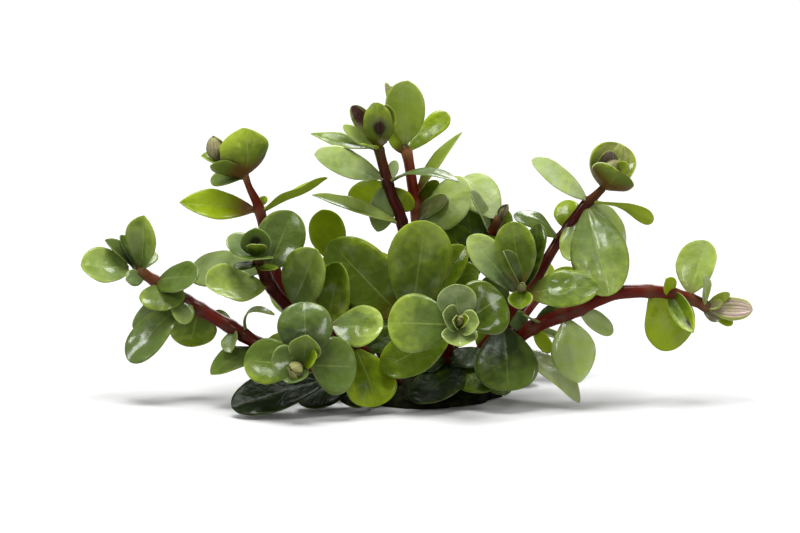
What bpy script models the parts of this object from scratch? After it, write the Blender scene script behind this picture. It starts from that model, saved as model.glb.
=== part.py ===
"""Orange juice rotala: a low clump of leafy shoots, cut off flat under its crown.

Every place is given in the front view, in millimetres: right, up and deep. The front view
looks a little down on the clump. Right and up lie in that view, and deep is the distance
away from the viewer along the ground. A face is the direction in which the upper side of a
leaf looks: right, up and near, where near points at the viewer.

Each shoot has a round stem, a few large leaves that are pieces of their own, and small
leaves and buds that are joined to the stem.
"""

import math
from collections import namedtuple

import bmesh
import bpy
from mathutils import Vector

MM = 0.001
VIEW_TILT = math.radians(10.0)
GROUND_UP = 3.5
CROWN_RIGHT = 4.5
CROWN_DEEP = 1.5
CROWN_HALF_WIDTH = 15.0
CROWN_HALF_DEPTH = 11.0
CROWN_HEIGHT = 6.0
CROWN_LOBES = (3, 0.07)
CROWN_RIPPLES = (7, 0.04)
CROWN_SEGMENTS = 16
CROWN_RINGS = 8
STUB_RADII = (1.4, 1.2)
STUB_START_SHARE = 0.35
STUB_RISE = 2.5

GAP = 0.3
LEAF_THICKNESS = 0.45
PETIOLE_WIDTH = 1.3
BASE_FULLNESS = 1.7
BASE_TAPER = 0.8
TIP_FULLNESS = 2.2
TIP_WIDTH_SHARE = 0.2
LARGE_LEAF_CELLS = (2, 5)
SMALL_LEAF_CELLS = (2, 3)
STEM_SPACING = 7.0
STEM_BEVEL_RESOLUTION = 1
STEM_END_REACH = 0.2
BUD_SEGMENTS = 6
BUD_RINGS = 4
KEPT_FACES = 0.72
WELD_DISTANCE = 0.01

# A leaf that lies along its stem, with less than this share of its length sideways, starts
# straight out from the stem. A joined leaf starts inside its stem, at this share of the radius,
# and each one starts this much lower than the last.
STEEP_SHARE = 0.45
START_SHARE = 0.15
START_STEP = 0.1

Blade = namedtuple("Blade", "name base tip width face arch cup fold curl twist widest")
Shoot = namedtuple("Shoot", "name stem leaves small buds")


def blade(name, base, tip, width, face, arch=0.0, cup=0.3, fold=0.0, curl=0.0, twist=0.0, widest=0.55):
    """A leaf from base to tip.

    arch lifts the middle towards the face, as a share of the length, and curl lifts the tip.
    cup and fold are angles in radians, by which the edges rise round the midrib. twist is in
    degrees, and widest is where the leaf is widest, from 0 at its base to 1 at its tip.
    """
    return Blade(name, base, tip, width, face, arch, cup, fold, curl, twist, widest)


def small(base, tip, width, face, **form):
    """A small leaf that is joined to its stem and needs no name."""
    return blade("", base, tip, width, face, **form)


SHOOTS = [
    Shoot(
        "far_left",
        [(-6, 5.5, -1.5, 1.3), (-14, 8.6, -4, 1.3), (-27.6, 14.4, -5.5, 1.3), (-34, 18.2, -4.5, 1.35),
         (-42.8, 23.2, -2, 1.35), (-49, 27.2, 0, 1.15), (-52.8, 29.6, 0, 1.0)],
        [
            blade("far_left_outer_leaf", (-52.8, 29.2, 0), (-64, 30.4, -2.5),
                  9.2, (0.2, 0.6, 0.8), cup=0.6),
            blade("far_left_upright_leaf", (-51.6, 28.8, 0), (-51.0, 40.6, -2.5),
                  8.0, (-0.45, 0.1, 0.85), fold=0.35, cup=0.1, widest=0.6),
            blade("far_left_upper_leaf", (-49, 27.4, -1), (-40.2, 27.8, -7.4),
                  8.2, (-0.1, 0.55, 0.8), arch=0.06),
            blade("far_left_lower_leaf", (-49, 27, -1), (-46.6, 21.2, -7),
                  9.4, (0.1, 0.55, 0.85), arch=0.08),
            blade("far_left_long_leaf", (-43, 22.8, -3), (-54.4, 10.8, -6),
                  8.2, (-0.35, 0.4, 0.85), arch=0.08, widest=0.6),
            blade("far_left_back_leaf", (-40, 21.4, -1.5), (-42.4, 13.8, 3.5),
                  9.6, (0.2, 0.2, 0.9), widest=0.48),
            blade("far_left_low_leaf", (-27.6, 14.2, -6), (-38, 8.4, -10),
                  8.2, (-0.15, 0.8, 0.55), arch=0.06, widest=0.48),
        ],
        [
            small((-52.8, 29.8, 0), (-59.2, 35.6, 1.6), 5.0, (0.6, 0.4, 0.7), fold=0.5),
            small((-52.8, 29.8, 0), (-56, 36.6, 2.8), 3.6, (0.5, 0.2, 0.8), fold=0.5),
            small((-52.6, 29.4, 0.5), (-49.8, 33.6, 3.4), 5.0, (-0.3, 0.3, 0.9), widest=0.65),
            small((-44.8, 24.2, -1.2), (-53.8, 17.6, 3), 5.6, (0.1, 0.6, 0.8), fold=0.3),
            small((-45.0, 24.4, -1.4), (-42.8, 18.4, -7), 4.8, (0.2, 0.4, 0.9), arch=0.12),
            small((-33.6, 18, -4.8), (-33.8, 12.8, -9), 4.8, (-0.6, 0.3, 0.75), fold=0.4),
            small((-31.4, 16.6, -5.2), (-24.8, 20.6, -7.5),
                  3.6, (-0.6, 0.8, 0.1), arch=0.5, cup=0.1),
        ],
        [],
    ),
    Shoot(
        "upper_left",
        [(-4, 5.5, 5, 1.25), (-12, 10, 7, 1.3), (-22, 20.4, 8, 1.3), (-26.8, 36.4, 6, 1.15),
         (-28.4, 42.2, 5, 1.0), (-30.2, 46, 4.5, 0.7), (-31.2, 49, 4, 0.65)],
        [
            blade("upper_left_left_leaf", (-28.2, 41.2, 5), (-44.6, 43.0, 3),
                  7.4, (0.1, 0.5, 0.9), fold=0.2),
            blade("upper_left_right_leaf", (-28.2, 41.0, 5), (-13.8, 47.2, 3),
                  6.4, (-0.4, 0.9, 0.0), fold=0.45, curl=0.06),
        ],
        [
            small((-31, 48.6, 4), (-31.4, 58.0, 2.4),
                  12.0, (-0.35, 0.0, -0.95), cup=0.9, arch=-0.2, widest=0.6),
            small((-31, 48.4, 4), (-38, 50.4, 2), 7.0, (0.2, 0.8, -0.5), cup=0.9, arch=-0.1),
            small((-31.2, 49, 4.4), (-40, 52.4, 4), 3.2, (0.3, 0.6, 0.7), fold=0.5, widest=0.8),
            small((-31, 48.6, 4.6), (-38.2, 47.6, 8), 4.0, (0, 0.5, 0.8), widest=0.7),
        ],
        [((-37.4, 54.2, 4.4), (1.6, 1.6, 1.6)), ((-34.2, 52.4, 4.2), (3.4, 1.9, 2.2))],
    ),
    Shoot(
        "mid_left",
        [(-2, 6, 1, 1.3), (-10, 12.4, -1, 1.3), (-20, 20, -3, 1.25), (-25, 25, -5, 1.2),
         (-27.6, 29.8, -8, 1.1), (-28.8, 32.2, -11, 0.9)],
        [
            blade("mid_left_upright_leaf", (-26.2, 28.0, -7.4), (-21.2, 41.4, -4.5),
                  10.6, (-0.15, 0.1, 1), fold=0.2),
            blade("mid_left_far_leaf", (-27.2, 29.2, -7.2), (-42.4, 29.6, 3.4),
                  9.0, (-0.1, 0.5, 0.9), arch=0.03, widest=0.6),
            blade("mid_left_near_leaf", (-25.6, 26.0, -6.2), (-39.2, 25.8, -14.4),
                  10.4, (0.1, 0.6, 0.8), cup=0.75, curl=0.06, widest=0.6),
            blade("mid_left_inner_leaf", (-21.6, 21.6, -3.8), (-16.4, 33.8, -12),
                  10.6, (-0.1, 0.3, 0.95), fold=0.2),
        ],
        [
            small((-28.6, 31.8, -10.6), (-34.2, 36.4, -7.5), 5.6, (0.5, 0.1, 0.9), cup=0.5),
            small((-28.8, 32, -11), (-28.6, 37.9, -13.4), 7.0, (0, 0.1, 1), cup=0.8, widest=0.5),
            small((-28.8, 32, -11), (-29.6, 31.4, -17.6), 8.4, (0.05, 1, 0.1), cup=0.45),
            small((-28, 31, -9.6), (-33, 29.8, -12.5), 3.6, (0, 0.8, 0.5)),
            small((-28, 30.8, -9.6), (-24.6, 28.8, -13.4), 3.6, (0, 0.8, 0.5), curl=0.15),
            small((-15.4, 16.6, -2.2), (-11.8, 31.2, -10), 8.6, (-0.3, 0.2, 0.9), fold=0.1),
        ],
        [],
    ),
    Shoot(
        "centre",
        [(3, 6, -1, 1.25), (2.4, 12, -2.5, 1.2), (2, 18, -4, 1.1), (2.4, 22.4, -2.8, 1.0)],
        [
            blade("centre_dark_leaf", (1.8, 18.4, -3.6), (-14.4, 35.4, -3.2),
                  12.8, (-0.1, 0.1, 1), fold=0.1, widest=0.56),
            blade("centre_tall_leaf", (2.2, 19.6, -4), (5.2, 39.8, -9),
                  13.0, (0, 0.1, 1), cup=0.22, widest=0.6),
        ],
        [
            small((2.4, 22, -3), (13.4, 34.4, -2), 8.0, (-0.3, 0.1, 0.9), fold=0.2),
            small((2.4, 22, -3), (-4.8, 33.2, -0.2), 5.2, (0.3, 0.1, 0.9)),
        ],
        [],
    ),
    Shoot(
        "low_left",
        [(0, 6, -4, 1.2), (-5, 11, -8.5, 1.15), (-11, 16, -12.5, 1.05), (-15.5, 19, -15, 0.9)],
        [
            blade("low_left_ringed_leaf", (-14.4, 18.6, -14.4), (-2.8, 17.6, -17.5),
                  9.8, (0, 0.45, 0.9), cup=0.5, curl=0.1),
            blade("low_left_bright_leaf", (-9.6, 14.6, -11.6), (-4.4, 2.0, -17),
                  11.6, (0.4, 0.3, 0.9), arch=0.06, widest=0.66),
        ],
        [
            small((-15.2, 18.8, -15), (-17.8, 21.6, -15.6), 3.0, (0.2, 0.2, 1), cup=0.6),
        ],
        [],
    ),
    Shoot(
        "front_left",
        [(-3, 5, -5.5, 1.25), (-8, 6.6, -11, 1.2), (-14, 9, -17, 1.1), (-19.4, 10.8, -23.5, 0.9)],
        [
            blade("front_left_top_leaf", (-18.6, 10.8, -22.4), (-19, 23.4, -19),
                  11.2, (0, 0.35, 0.95), arch=0.15),
            blade("front_left_right_leaf", (-19, 11.0, -22.8), (-8.4, 10.2, -21),
                  12.0, (0.1, 0.2, 1), widest=0.52),
            blade("front_left_left_leaf", (-19, 10.8, -22.8), (-31.2, 11.6, -20.5),
                  10.0, (0.15, 0.3, 0.95), cup=0.4),
            blade("front_left_ground_leaf", (-12.6, 8.2, -15.6), (-34, 2.0, -19),
                  10.4, (0, 0.65, 0.75), fold=0.1, widest=0.62),
        ],
        [
            small((-19.2, 10.8, -23.4), (-18.2, 17.2, -26),
                  7.6, (-0.1, -0.3, 1), cup=0.9, curl=0.15),
            small((-19.4, 10.8, -23.4), (-25.6, 11.2, -27), 7.6, (0.9, 0.1, 0.35), cup=0.5),
            small((-19.2, 10.6, -23.4), (-16.4, 12.6, -27.5), 4.2, (-0.9, 0.2, 0.3), cup=0.5),
            small((-19.4, 10.6, -23.4), (-22.2, 7.0, -28), 6.2, (0, 0.9, 0.4), cup=0.6),
            small((-9, 7, -12), (-21, 3.6, -12.6), 9.0, (0, 0.7, 0.7)),
            small((-6, 6, -9), (-12, 3.2, -13.6), 8.0, (0, 0.7, 0.7)),
        ],
        [((-20.8, 9.8, -26), (2.2, 1.8, 1.8))],
    ),
    Shoot(
        "front",
        [(8.4, 7.4, -2.4, 1.25), (9.4, 13, -5, 1.2), (10.8, 16.6, -13, 1.05), (11.8, 18.8, -21.5, 0.9)],
        [
            blade("front_left_hand_leaf", (11.6, 18.4, -20.6), (-2.8, 19, -17.8),
                  12.2, (0.1, 0.15, 1), cup=0.3, widest=0.6),
            blade("front_lower_leaf", (10.6, 15.4, -15), (-4.2, 9.6, -14.5),
                  9.8, (-0.2, 0.35, 0.9)),
            blade("front_right_hand_leaf", (11.6, 19.0, -20.4), (20.6, 24.4, -18.5),
                  12.2, (0.1, 0.2, 1)),
        ],
        [
            small((11.8, 19, -21.2), (10.8, 26.8, -21), 8.8, (0, 0, 1), cup=0.8, widest=0.6),
            small((11.6, 18.4, -21.2), (8.4, 20.8, -25.5), 6.0, (0.8, 0.1, 0.6), cup=0.8),
            small((12, 18.4, -21.2), (15.6, 19.0, -25.5), 6.0, (-0.8, 0.2, 0.5), cup=0.8),
            small((11.8, 18, -21.2), (11.8, 14.2, -26), 7.8, (0, 0.9, 0.5), cup=0.7),
            small((9.4, 13, -5), (17, 11.4, -7.6), 5.4, (0, 0.5, 0.8)),
            small((9.2, 13, -5), (2.6, 10.2, -9), 5.6, (0, 0.5, 0.85)),
        ],
        [((11.9, 19.4, -22.6), (1.2, 1.2, 1.6))],
    ),
    Shoot(
        "centre_right",
        [(11, 6, -1, 1.25), (16, 13, -3, 1.2), (21, 19.6, -6, 1.1),
         (23.8, 24, -10, 1.0), (24.2, 25.8, -13, 0.9)],
        [
            blade("centre_right_upright_leaf", (24.1, 25.2, -11.8), (22.2, 39.4, -11),
                  8.8, (-0.2, 0.05, 1), cup=0.5),
            blade("centre_right_pale_leaf", (23.6, 24.2, -10.4), (13.4, 36.4, -8),
                  8.0, (0.2, 0.5, 0.85), fold=0.2),
            blade("centre_right_side_leaf", (24, 24.4, -10.8), (39.8, 26, -13.5),
                  8.4, (0, 0.45, 0.9), arch=0.05),
            blade("centre_right_hanging_leaf", (20.8, 18.8, -5.8), (21.6, 5.0, -16),
                  13.0, (0.05, 0.35, 0.95), fold=-0.25, arch=0.06, widest=0.6),
            blade("centre_right_ground_leaf", (15.2, 11.6, -2.8), (2.2, 3.0, -17),
                  8.8, (-0.2, 0.5, 0.85)),
        ],
        [
            small((24.1, 25.6, -12.6), (20.4, 33.4, -16.5), 4.8, (0.8, 0.1, 0.5), fold=0.5),
            small((24.1, 25.4, -12.6), (23.8, 21.6, -17), 5.6, (-0.1, 0.8, 0.6), cup=0.8),
            small((24.1, 25, -11.4), (28, 39, -7), 6.0, (-0.6, 0, 0.8), cup=0.2),
        ],
        [],
    ),
    Shoot(
        "right",
        [(15, 6, -2, 1.3), (20, 12, -2.5, 1.35), (26, 17.6, -4, 1.4), (34.4, 21.2, -6.5, 1.5),
         (39.8, 23.8, -7, 1.5), (44.2, 25, -6.5, 1.4), (52.4, 25, -5, 1.25),
         (59, 23.2, -3, 1.15), (62.2, 21.4, -3, 1.0)],
        [
            blade("right_upright_leaf", (57.6, 23.8, -3), (61.3, 35.6, -0.5),
                  9.8, (-0.45, 0.1, 0.9), fold=0.3, widest=0.5),
            blade("right_under_leaf", (49.2, 25.2, -4.6), (56.8, 14.4, -0.6),
                  12.4, (0.1, 0.3, 0.95), cup=0.5, widest=0.5),
            blade("right_hanging_leaf", (32.6, 20.6, -7), (35.8, 6.6, -13),
                  9.4, (-0.3, 0.3, 0.9), fold=-0.25, arch=0.05, widest=0.5),
            blade("right_arched_leaf", (22.2, 14, -2.8), (36.2, 2.6, -9),
                  8.0, (0.4, 0.7, 0.5), arch=0.12),
        ],
        [
            small((54.8, 24.6, -4.6), (53, 27.8, -8.4), 3.6, (0.6, -0.2, 0.7)),
            small((54.6, 24.8, -4.6), (58.4, 16.8, -13), 5.0, (-0.2, 0.2, 0.95), fold=0.4),
            small((60.8, 22, -3.2), (60.6, 28.6, -7.6), 4.0, (0.9, 0, 0.5), fold=0.5, widest=0.4),
            small((61.6, 21.4, -3), (70.6, 21.4, -5), 5.2, (0, 0.35, 0.95), cup=0.4),
            small((61.8, 21.4, -3), (66.6, 18.4, -3.4), 2.6, (0, 0.6, 0.8), widest=0.7),
            small((36, 21.6, -6.6), (42.8, 16.8, -4), 5.0, (0, 0.6, 0.8)),
            small((28.6, 18.6, -5), (24.8, 20.6, -9.4), 3.2, (0, 0.9, 0.5)),
            small((17.6, 9.4, -2.2), (21.2, 4.4, -8.5), 5.6, (0.2, 0.7, 0.6)),
        ],
        [],
    ),
    Shoot(
        "upper_right",
        [(12, 6, 3, 1.25), (18, 13, 2, 1.2), (23, 20.4, 0.5, 1.15), (26, 25, 0, 1.1), (30.4, 33.2, 0, 1.05),
         (36.2, 41.4, 1, 1.05), (38.8, 44, 1, 0.9), (41, 46.2, 1, 0.65)],
        [
            blade("upper_right_left_leaf", (37.8, 43, 1), (26, 51.6, -1),
                  6.6, (0.4, 0.6, 0.7), arch=0.04, widest=0.45),
            blade("upper_right_twisted_leaf", (38, 43.2, 0.6), (51.0, 39.2, -1),
                  4.0, (0.2, 1, 0.1), arch=0.07, twist=70, widest=0.8),
            blade("upper_right_hanging_leaf", (37.4, 42.4, 0.4), (41.8, 23.8, -12),
                  11.8, (-0.15, 0.35, 0.95), fold=-0.3, arch=0.1),
            blade("upper_right_inner_leaf", (32.2, 35.6, 0.2), (22.4, 40.2, -4),
                  6.4, (0.3, 0.75, 0.6), arch=0.16, fold=-0.2, widest=0.42),
        ],
        [
            small((40.8, 46, 1), (44.2, 54.9, 3), 10.8, (-0.1, 0, 1), cup=0.9, widest=0.58),
            small((40.8, 46, 1), (43.8, 49.2, -5), 10.6, (0.35, 0.75, -0.6), cup=0.9, arch=-0.12),
            small((40.9, 46, 1), (42, 53.4, -0.6), 4.8, (0.2, 0, 1), cup=0.6),
            small((40.9, 46, 1), (45.4, 51, -2), 3.6, (0, 0.2, 1), cup=0.6),
            small((38.1, 43.2, 1.2), (45.4, 33.6, 8), 6.0, (0.8, 0.2, 0.4), arch=0.12),
            small((33.6, 38, 0.6), (33.6, 43.6, 5), 5.6, (-0.2, -0.2, 1)),
        ],
        [((42.2, 49.6, 0.2), (2.2, 2.0, 2.4))],
    ),
    Shoot(
        "top_front",
        [(2.5, 6, 2.5, 1.3), (3.4, 16, 2.5, 1.25), (0.6, 37.8, 2, 1.15), (-1.6, 44.2, 2, 1.1),
         (-3, 48.8, 2, 1.05), (-4.4, 54.4, 2, 1.0)],
        [
            blade("top_front_left_leaf", (-2.9, 47.4, 1.6), (-17.4, 52.6, -3.5),
                  7.8, (0.1, 0.65, 0.8), fold=0.1, arch=0.02),
            blade("top_front_right_leaf", (-2.7, 47.2, 1.6), (12, 47, -4),
                  6.4, (0, 1, 0.25), arch=0.14, widest=0.6),
            blade("top_front_long_leaf", (0.3, 38.6, 1.6), (-18, 44.6, -1),
                  5.4, (0.1, 0.8, 0.6), fold=0.3),
        ],
        [
            small((-4.2, 54, 2), (-18.2, 56.8, 3), 4.8, (0, 0.8, 0.6), fold=0.2, arch=-0.05),
            small((-4.4, 54.2, 2), (-9.8, 62.4, 2.6), 4.8, (0.6, 0, 0.8), cup=0.6),
            small((-4.3, 54, 2), (-7.8, 54.6, -3), 3.2, (0.1, 1, 0.2), cup=0.5),
            small((-4.4, 54.2, 2), (-4.6, 63, -0.6),
                  6.6, (0, 0, -1), cup=0.9, arch=-0.16, widest=0.6),
            small((-4.4, 54.2, 2), (-2.6, 62.6, 3.4), 6.0, (-0.2, 0, 1), cup=0.9, arch=-0.16),
            small((-2.6, 47.4, 2.4), (-10.4, 42.8, 6), 5.8, (0, -0.2, 1)),
            small((-2.7, 47.4, 1.6), (-4.6, 36.8, 4.6), 5.6, (-0.2, 0.1, 0.95)),
            small((-2.4, 46.8, 2.2), (2.6, 41.4, 5.4), 4.0, (-0.2, 0.2, 1)),
        ],
        [((-4.4, 58.6, 1.6), (2.8, 2.6, 4.2))],
    ),
    Shoot(
        "top_back",
        [(5, 6, 6, 1.3), (6, 20, 8, 1.2), (3.4, 40, 9.5, 1.15), (2.4, 47, 9.5, 1.1), (1.6, 52, 9, 1.05),
         (1.1, 54, 8.8, 0.95)],
        [
            blade("top_back_upright_leaf", (1.1, 54, 8.8), (1.6, 67.6, 5.6),
                  9.2, (-0.3, 0.05, 0.95), fold=0.2, widest=0.58),
            blade("top_back_low_leaf", (3.5, 39.4, 9), (14.4, 45.4, 0),
                  11.2, (-0.1, 0.4, 0.9), fold=-0.3, arch=0.08),
        ],
        [
            small((1.4, 53.2, 9), (9.8, 61.2, 13), 4.8, (-0.3, 0.2, 0.9), widest=0.75),
            small((1.1, 53.8, 8.8), (-3, 67.4, 12), 2.8, (0.3, 0, 0.9), fold=0.5),
            small((2.8, 44, 9.5), (12.6, 57.4, 9), 5.0, (-0.6, 0.4, 0.6), fold=0.5),
        ],
        [],
    ),
    Shoot(
        "top_right",
        [(9, 6, 5.5, 1.25), (12, 20, 7, 1.2), (16, 32, 6, 1.1), (19, 38, 4, 1.0), (20.2, 40.4, 3, 0.9)],
        [],
        [
            small((19.8, 39.6, 3.4), (12.8, 48.4, 9), 8.2, (-0.1, 0.5, 0.8), arch=0.06),
            small((18.2, 36.4, 4.6), (13.8, 45.6, 1.4), 4.6, (0.7, 0.3, 0.6), fold=0.5),
            small((15.6, 31, 6), (8.6, 37.8, 5), 7.2, (0.1, 0.2, 0.95)),
            small((15, 29.6, 6.2), (19, 37, 7.4), 6.0, (-0.1, 0.2, 0.95)),
            small((20, 40, 3.2), (21.6, 42.6, 2), 2.6, (0, 0.2, 1), fold=0.5),
            small((18.4, 37, 4.4), (21, 34.6, -1.5), 5.4, (0.3, 0.7, 0.6)),
        ],
        [],
    ),
    Shoot(
        "back_left",
        [(-0.5, 7.6, 7.4, 1.2), (-5, 15, 12, 1.15), (-10, 25, 13, 1.05), (-13.4, 31.4, 11.5, 0.9)],
        [],
        [
            small((-13.2, 31, 11.6), (-15.8, 41.8, 8), 7.6, (0.1, -0.1, 1)),
            small((-13, 31, 11.8), (-21, 33.4, 19), 7.6, (-0.2, 0.9, -0.4)),
            small((-9.6, 24.4, 13), (-14, 27, 25), 8.4, (-0.1, 0.8, -0.6), arch=0.08),
            small((-9.4, 24, 12.8), (-1.5, 30, 17), 7.6, (0.3, 0.7, -0.4), arch=0.05),
            small((-13.2, 31, 11.8), (-12, 35.6, 15), 5.0, (0, 0.2, -1), cup=0.7),
        ],
        [((-13.6, 32, 11.6), (1.2, 1.2, 1.6))],
    ),
    Shoot(
        "back_low_left",
        [(-4, 7.6, 8.6, 1.2), (-10, 10.6, 16, 1.2), (-16, 14.6, 25, 1.1), (-19.6, 18.6, 31, 0.9)],
        [],
        [
            small((-19.4, 18.4, 30.6), (-27, 26, 34), 9.0, (0.2, 0.8, -0.5), cup=0.4),
            small((-19.4, 18.4, 30.6), (-12.6, 25.4, 36), 9.0, (-0.2, 0.7, -0.6), cup=0.4),
            small((-19.6, 18.6, 31), (-21.6, 24.6, 38), 5.6, (0, 0.4, -0.9), cup=0.8),
            small((-15.6, 14.4, 24.6), (-28, 14.2, 25), 8.6, (0, 0.9, -0.3), arch=0.1),
            small((-15.6, 14.2, 24.6), (-6, 14.4, 31), 8.6, (0, 0.9, -0.4), arch=0.1),
            small((-10.2, 9, 16.2), (-22.4, 8.6, 15), 7.6, (0, 0.95, -0.2), arch=0.06),
        ],
        [((-19.9, 19.2, 32), (1.3, 1.5, 1.3))],
    ),
    Shoot(
        "back_centre",
        [(4.8, 7.8, 9.2, 1.25), (5, 13, 19, 1.2), (5.6, 22, 27, 1.05), (6, 27.4, 31, 0.9)],
        [],
        [
            small((6, 27, 30.6), (-2.4, 34, 33), 9.2, (0.2, 0.7, -0.7), cup=0.35),
            small((6, 27, 30.6), (14.4, 34, 33), 9.2, (-0.2, 0.7, -0.7), cup=0.35),
            small((6, 27.4, 31), (5.6, 34.6, 38), 6.0, (0, 0.4, -0.9), cup=0.8),
            small((5.3, 18, 23.6), (-5.6, 18, 24), 8.6, (0, 0.9, -0.4), arch=0.1),
            small((5.3, 18, 23.6), (16, 18.4, 29), 8.6, (0, 0.9, -0.4), arch=0.1),
            small((5, 12, 17.6), (5, 9.8, 30), 8.6, (0.1, 0.9, -0.2), arch=0.12),
        ],
        [((6.1, 28.2, 31.8), (1.3, 1.3, 1.6))],
    ),
    Shoot(
        "back_right",
        [(11, 7.8, 8.6, 1.25), (17, 11, 16, 1.2), (24, 19, 21, 1.05), (28, 24, 24, 0.9)],
        [],
        [
            small((27.8, 23.8, 23.8), (21, 33, 25), 9.0, (0.3, 0.5, -0.8), cup=0.35),
            small((27.8, 23.8, 23.8), (37, 29, 24), 9.0, (-0.3, 0.7, -0.7), cup=0.35),
            small((28, 24, 24), (30.4, 31, 29), 5.8, (0, 0.3, -0.9), cup=0.8),
            small((22.6, 17.4, 20), (35, 14.6, 19), 8.6, (0, 0.95, -0.2), arch=0.1),
            small((22.6, 17.4, 20), (19, 20, 33), 8.6, (0, 0.9, -0.4), arch=0.1),
            small((16.6, 10.6, 15.4), (28, 8.4, 15), 7.6, (0, 0.95, -0.2), arch=0.08),
        ],
        [((28.2, 24.8, 24.6), (1.3, 1.3, 1.6))],
    ),
]

# The stubs start in the crown: right, deep and length.
STUBS = [(-8.0, 2.4, 3.6), (16.0, 4.3, 3.6), (1.0, 10.0, 3.6)]

LEAF_COLOURS = [(0.075, 0.17, 0.018), (0.11, 0.24, 0.03), (0.05, 0.12, 0.015)]
LEAF_ROUGHNESS = 0.3
STEM_COLOUR = (0.09, 0.018, 0.012)
STEM_ROUGHNESS = 0.35
CROWN_COLOUR = (0.03, 0.035, 0.012)
CROWN_ROUGHNESS = 0.6


def place(spot):
    """The world position, in metres, of a spot in the front view."""
    right, up, deep = spot[0], spot[1], spot[2]
    height = (up - GROUND_UP - deep * math.sin(VIEW_TILT)) / math.cos(VIEW_TILT)
    return Vector(((right - CROWN_RIGHT) * MM, (deep - CROWN_DEEP) * MM, height * MM))


def direction(face):
    """The world direction of right, up and near in the front view."""
    right, up, near = face
    sine, cosine = math.sin(VIEW_TILT), math.cos(VIEW_TILT)
    return Vector((right, up * sine - near * cosine, up * cosine + near * sine)).normalized()


def clear_scene():
    for thing in list(bpy.data.objects):
        bpy.data.objects.remove(thing, do_unlink=True)


def make_collection(name, parent=None):
    collection = bpy.data.collections.new(name)
    (parent or bpy.context.scene.collection).children.link(collection)
    return collection


def make_material(name, colour, roughness):
    material = bpy.data.materials.new(name)
    material.use_nodes = True
    shader = material.node_tree.nodes["Principled BSDF"]
    shader.inputs["Base Color"].default_value = (*colour, 1.0)
    shader.inputs["Roughness"].default_value = roughness
    shader.inputs["Metallic"].default_value = 0.0
    return material


def smooth_route(spots, spacing):
    """Points on a smooth curve through the stem's spots, with the radius of each, in metres."""
    places = [place(spot) for spot in spots]
    radii = [spot[3] * MM for spot in spots]
    ends = [places[0] * 2 - places[1]] + places + [places[-1] * 2 - places[-2]]
    route = []
    for index in range(len(places) - 1):
        before, start, finish, after = ends[index:index + 4]
        steps = max(1, round((finish - start).length / (spacing * MM)))
        for step in range(steps):
            t = step / steps
            point = 0.5 * (
                2 * start
                + (finish - before) * t
                + (2 * before - 5 * start + 4 * finish - after) * t ** 2
                + (3 * start - before - 3 * finish + after) * t ** 3
            )
            route.append((point, radii[index] * (1 - t) + radii[index + 1] * t))
    route.append((places[-1], radii[-1]))
    return route


def nearest_on(route, spot):
    """The nearest point of a stem's middle line, with the stem's radius there."""
    best = None
    for (start, radius_a), (finish, radius_b) in zip(route, route[1:]):
        along = finish - start
        share = min(1.0, max(0.0, (spot - start).dot(along) / along.length_squared))
        point = start + along * share
        distance = (spot - point).length
        if best is None or distance < best[0]:
            best = (distance, point, radius_a * (1 - share) + radius_b * share, along.normalized())
    return best[1:]


def tube(name, route, collection):
    """A round stem with closed ends, as a mesh object."""
    curve = bpy.data.curves.new(name, "CURVE")
    curve.dimensions = "3D"
    curve.bevel_depth = 1.0
    curve.bevel_resolution = STEM_BEVEL_RESOLUTION
    curve.use_fill_caps = True
    spline = curve.splines.new("POLY")
    spline.points.add(len(route) - 1)
    for point, (spot, radius) in zip(spline.points, route):
        point.co = (*spot, 1.0)
        point.radius = radius
    wire = bpy.data.objects.new(name + "_line", curve)
    collection.objects.link(wire)
    graph = bpy.context.evaluated_depsgraph_get()
    mesh = bpy.data.meshes.new_from_object(wire.evaluated_get(graph))
    mesh.name = name
    piece = bpy.data.objects.new(name, mesh)
    piece.matrix_world = wire.matrix_world
    collection.objects.link(piece)
    bpy.data.objects.remove(wire, do_unlink=True)
    work = bmesh.new()
    work.from_mesh(mesh)
    bmesh.ops.remove_doubles(work, verts=work.verts, dist=WELD_DISTANCE * MM)
    bmesh.ops.recalc_face_normals(work, faces=work.faces)
    work.to_mesh(mesh)
    work.free()
    return piece


def outline(u, widest):
    """Half the width of a leaf at u, as a share of its greatest: tapered base, round tip."""
    if u < widest:
        t = (widest - u) / widest
        return max(0.0, 1 - t ** BASE_FULLNESS) ** BASE_TAPER
    t = (u - widest) / (1 - widest)
    return math.sqrt(max(0.0, 1 - t ** TIP_FULLNESS))


def blade_point(leaf, base, tip, u, v):
    """The point of a leaf's sheet at u along it and v across it, from -1 to 1."""
    chord = tip - base
    length = chord.length
    along = chord / length
    face = direction(leaf.face)
    face = (face - along * face.dot(along)).normalized()
    side = along.cross(face)
    turn = math.radians(leaf.twist) * u
    side, face = (
        side * math.cos(turn) + face * math.sin(turn),
        face * math.cos(turn) - side * math.sin(turn),
    )
    lift = leaf.arch * 4 * u * (1 - u) + leaf.curl * u ** 3
    slope = leaf.arch * 4 * (1 - 2 * u) + leaf.curl * 3 * u ** 2
    middle = base + along * (length * u) + face * (lift * length)
    normal = (face - along * slope).normalized()
    petiole = PETIOLE_WIDTH / leaf.width
    share = max(outline(u, leaf.widest), petiole * (1 - u), TIP_WIDTH_SHARE * u)
    half = leaf.width * MM * 0.5 * share
    bend = max(leaf.cup, 0.001)
    across = half * math.sin(bend * abs(v)) / bend
    rise = half * (1 - math.cos(bend * v)) / bend
    wide = across * math.cos(leaf.fold) - rise * math.sin(leaf.fold)
    high = across * math.sin(leaf.fold) + rise * math.cos(leaf.fold)
    return middle + side * math.copysign(wide, v) + normal * high


def joined_ends(leaf, route, number):
    """Where a joined leaf starts, inside its stem, and ends. Each starts a little lower."""
    centre, radius, along = nearest_on(route, place(leaf.base))
    centre = centre - along * (START_STEP * (number + 1) * MM)
    tip = place(leaf.tip)
    return centre + (tip - centre).normalized() * (START_SHARE * radius), tip


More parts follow.
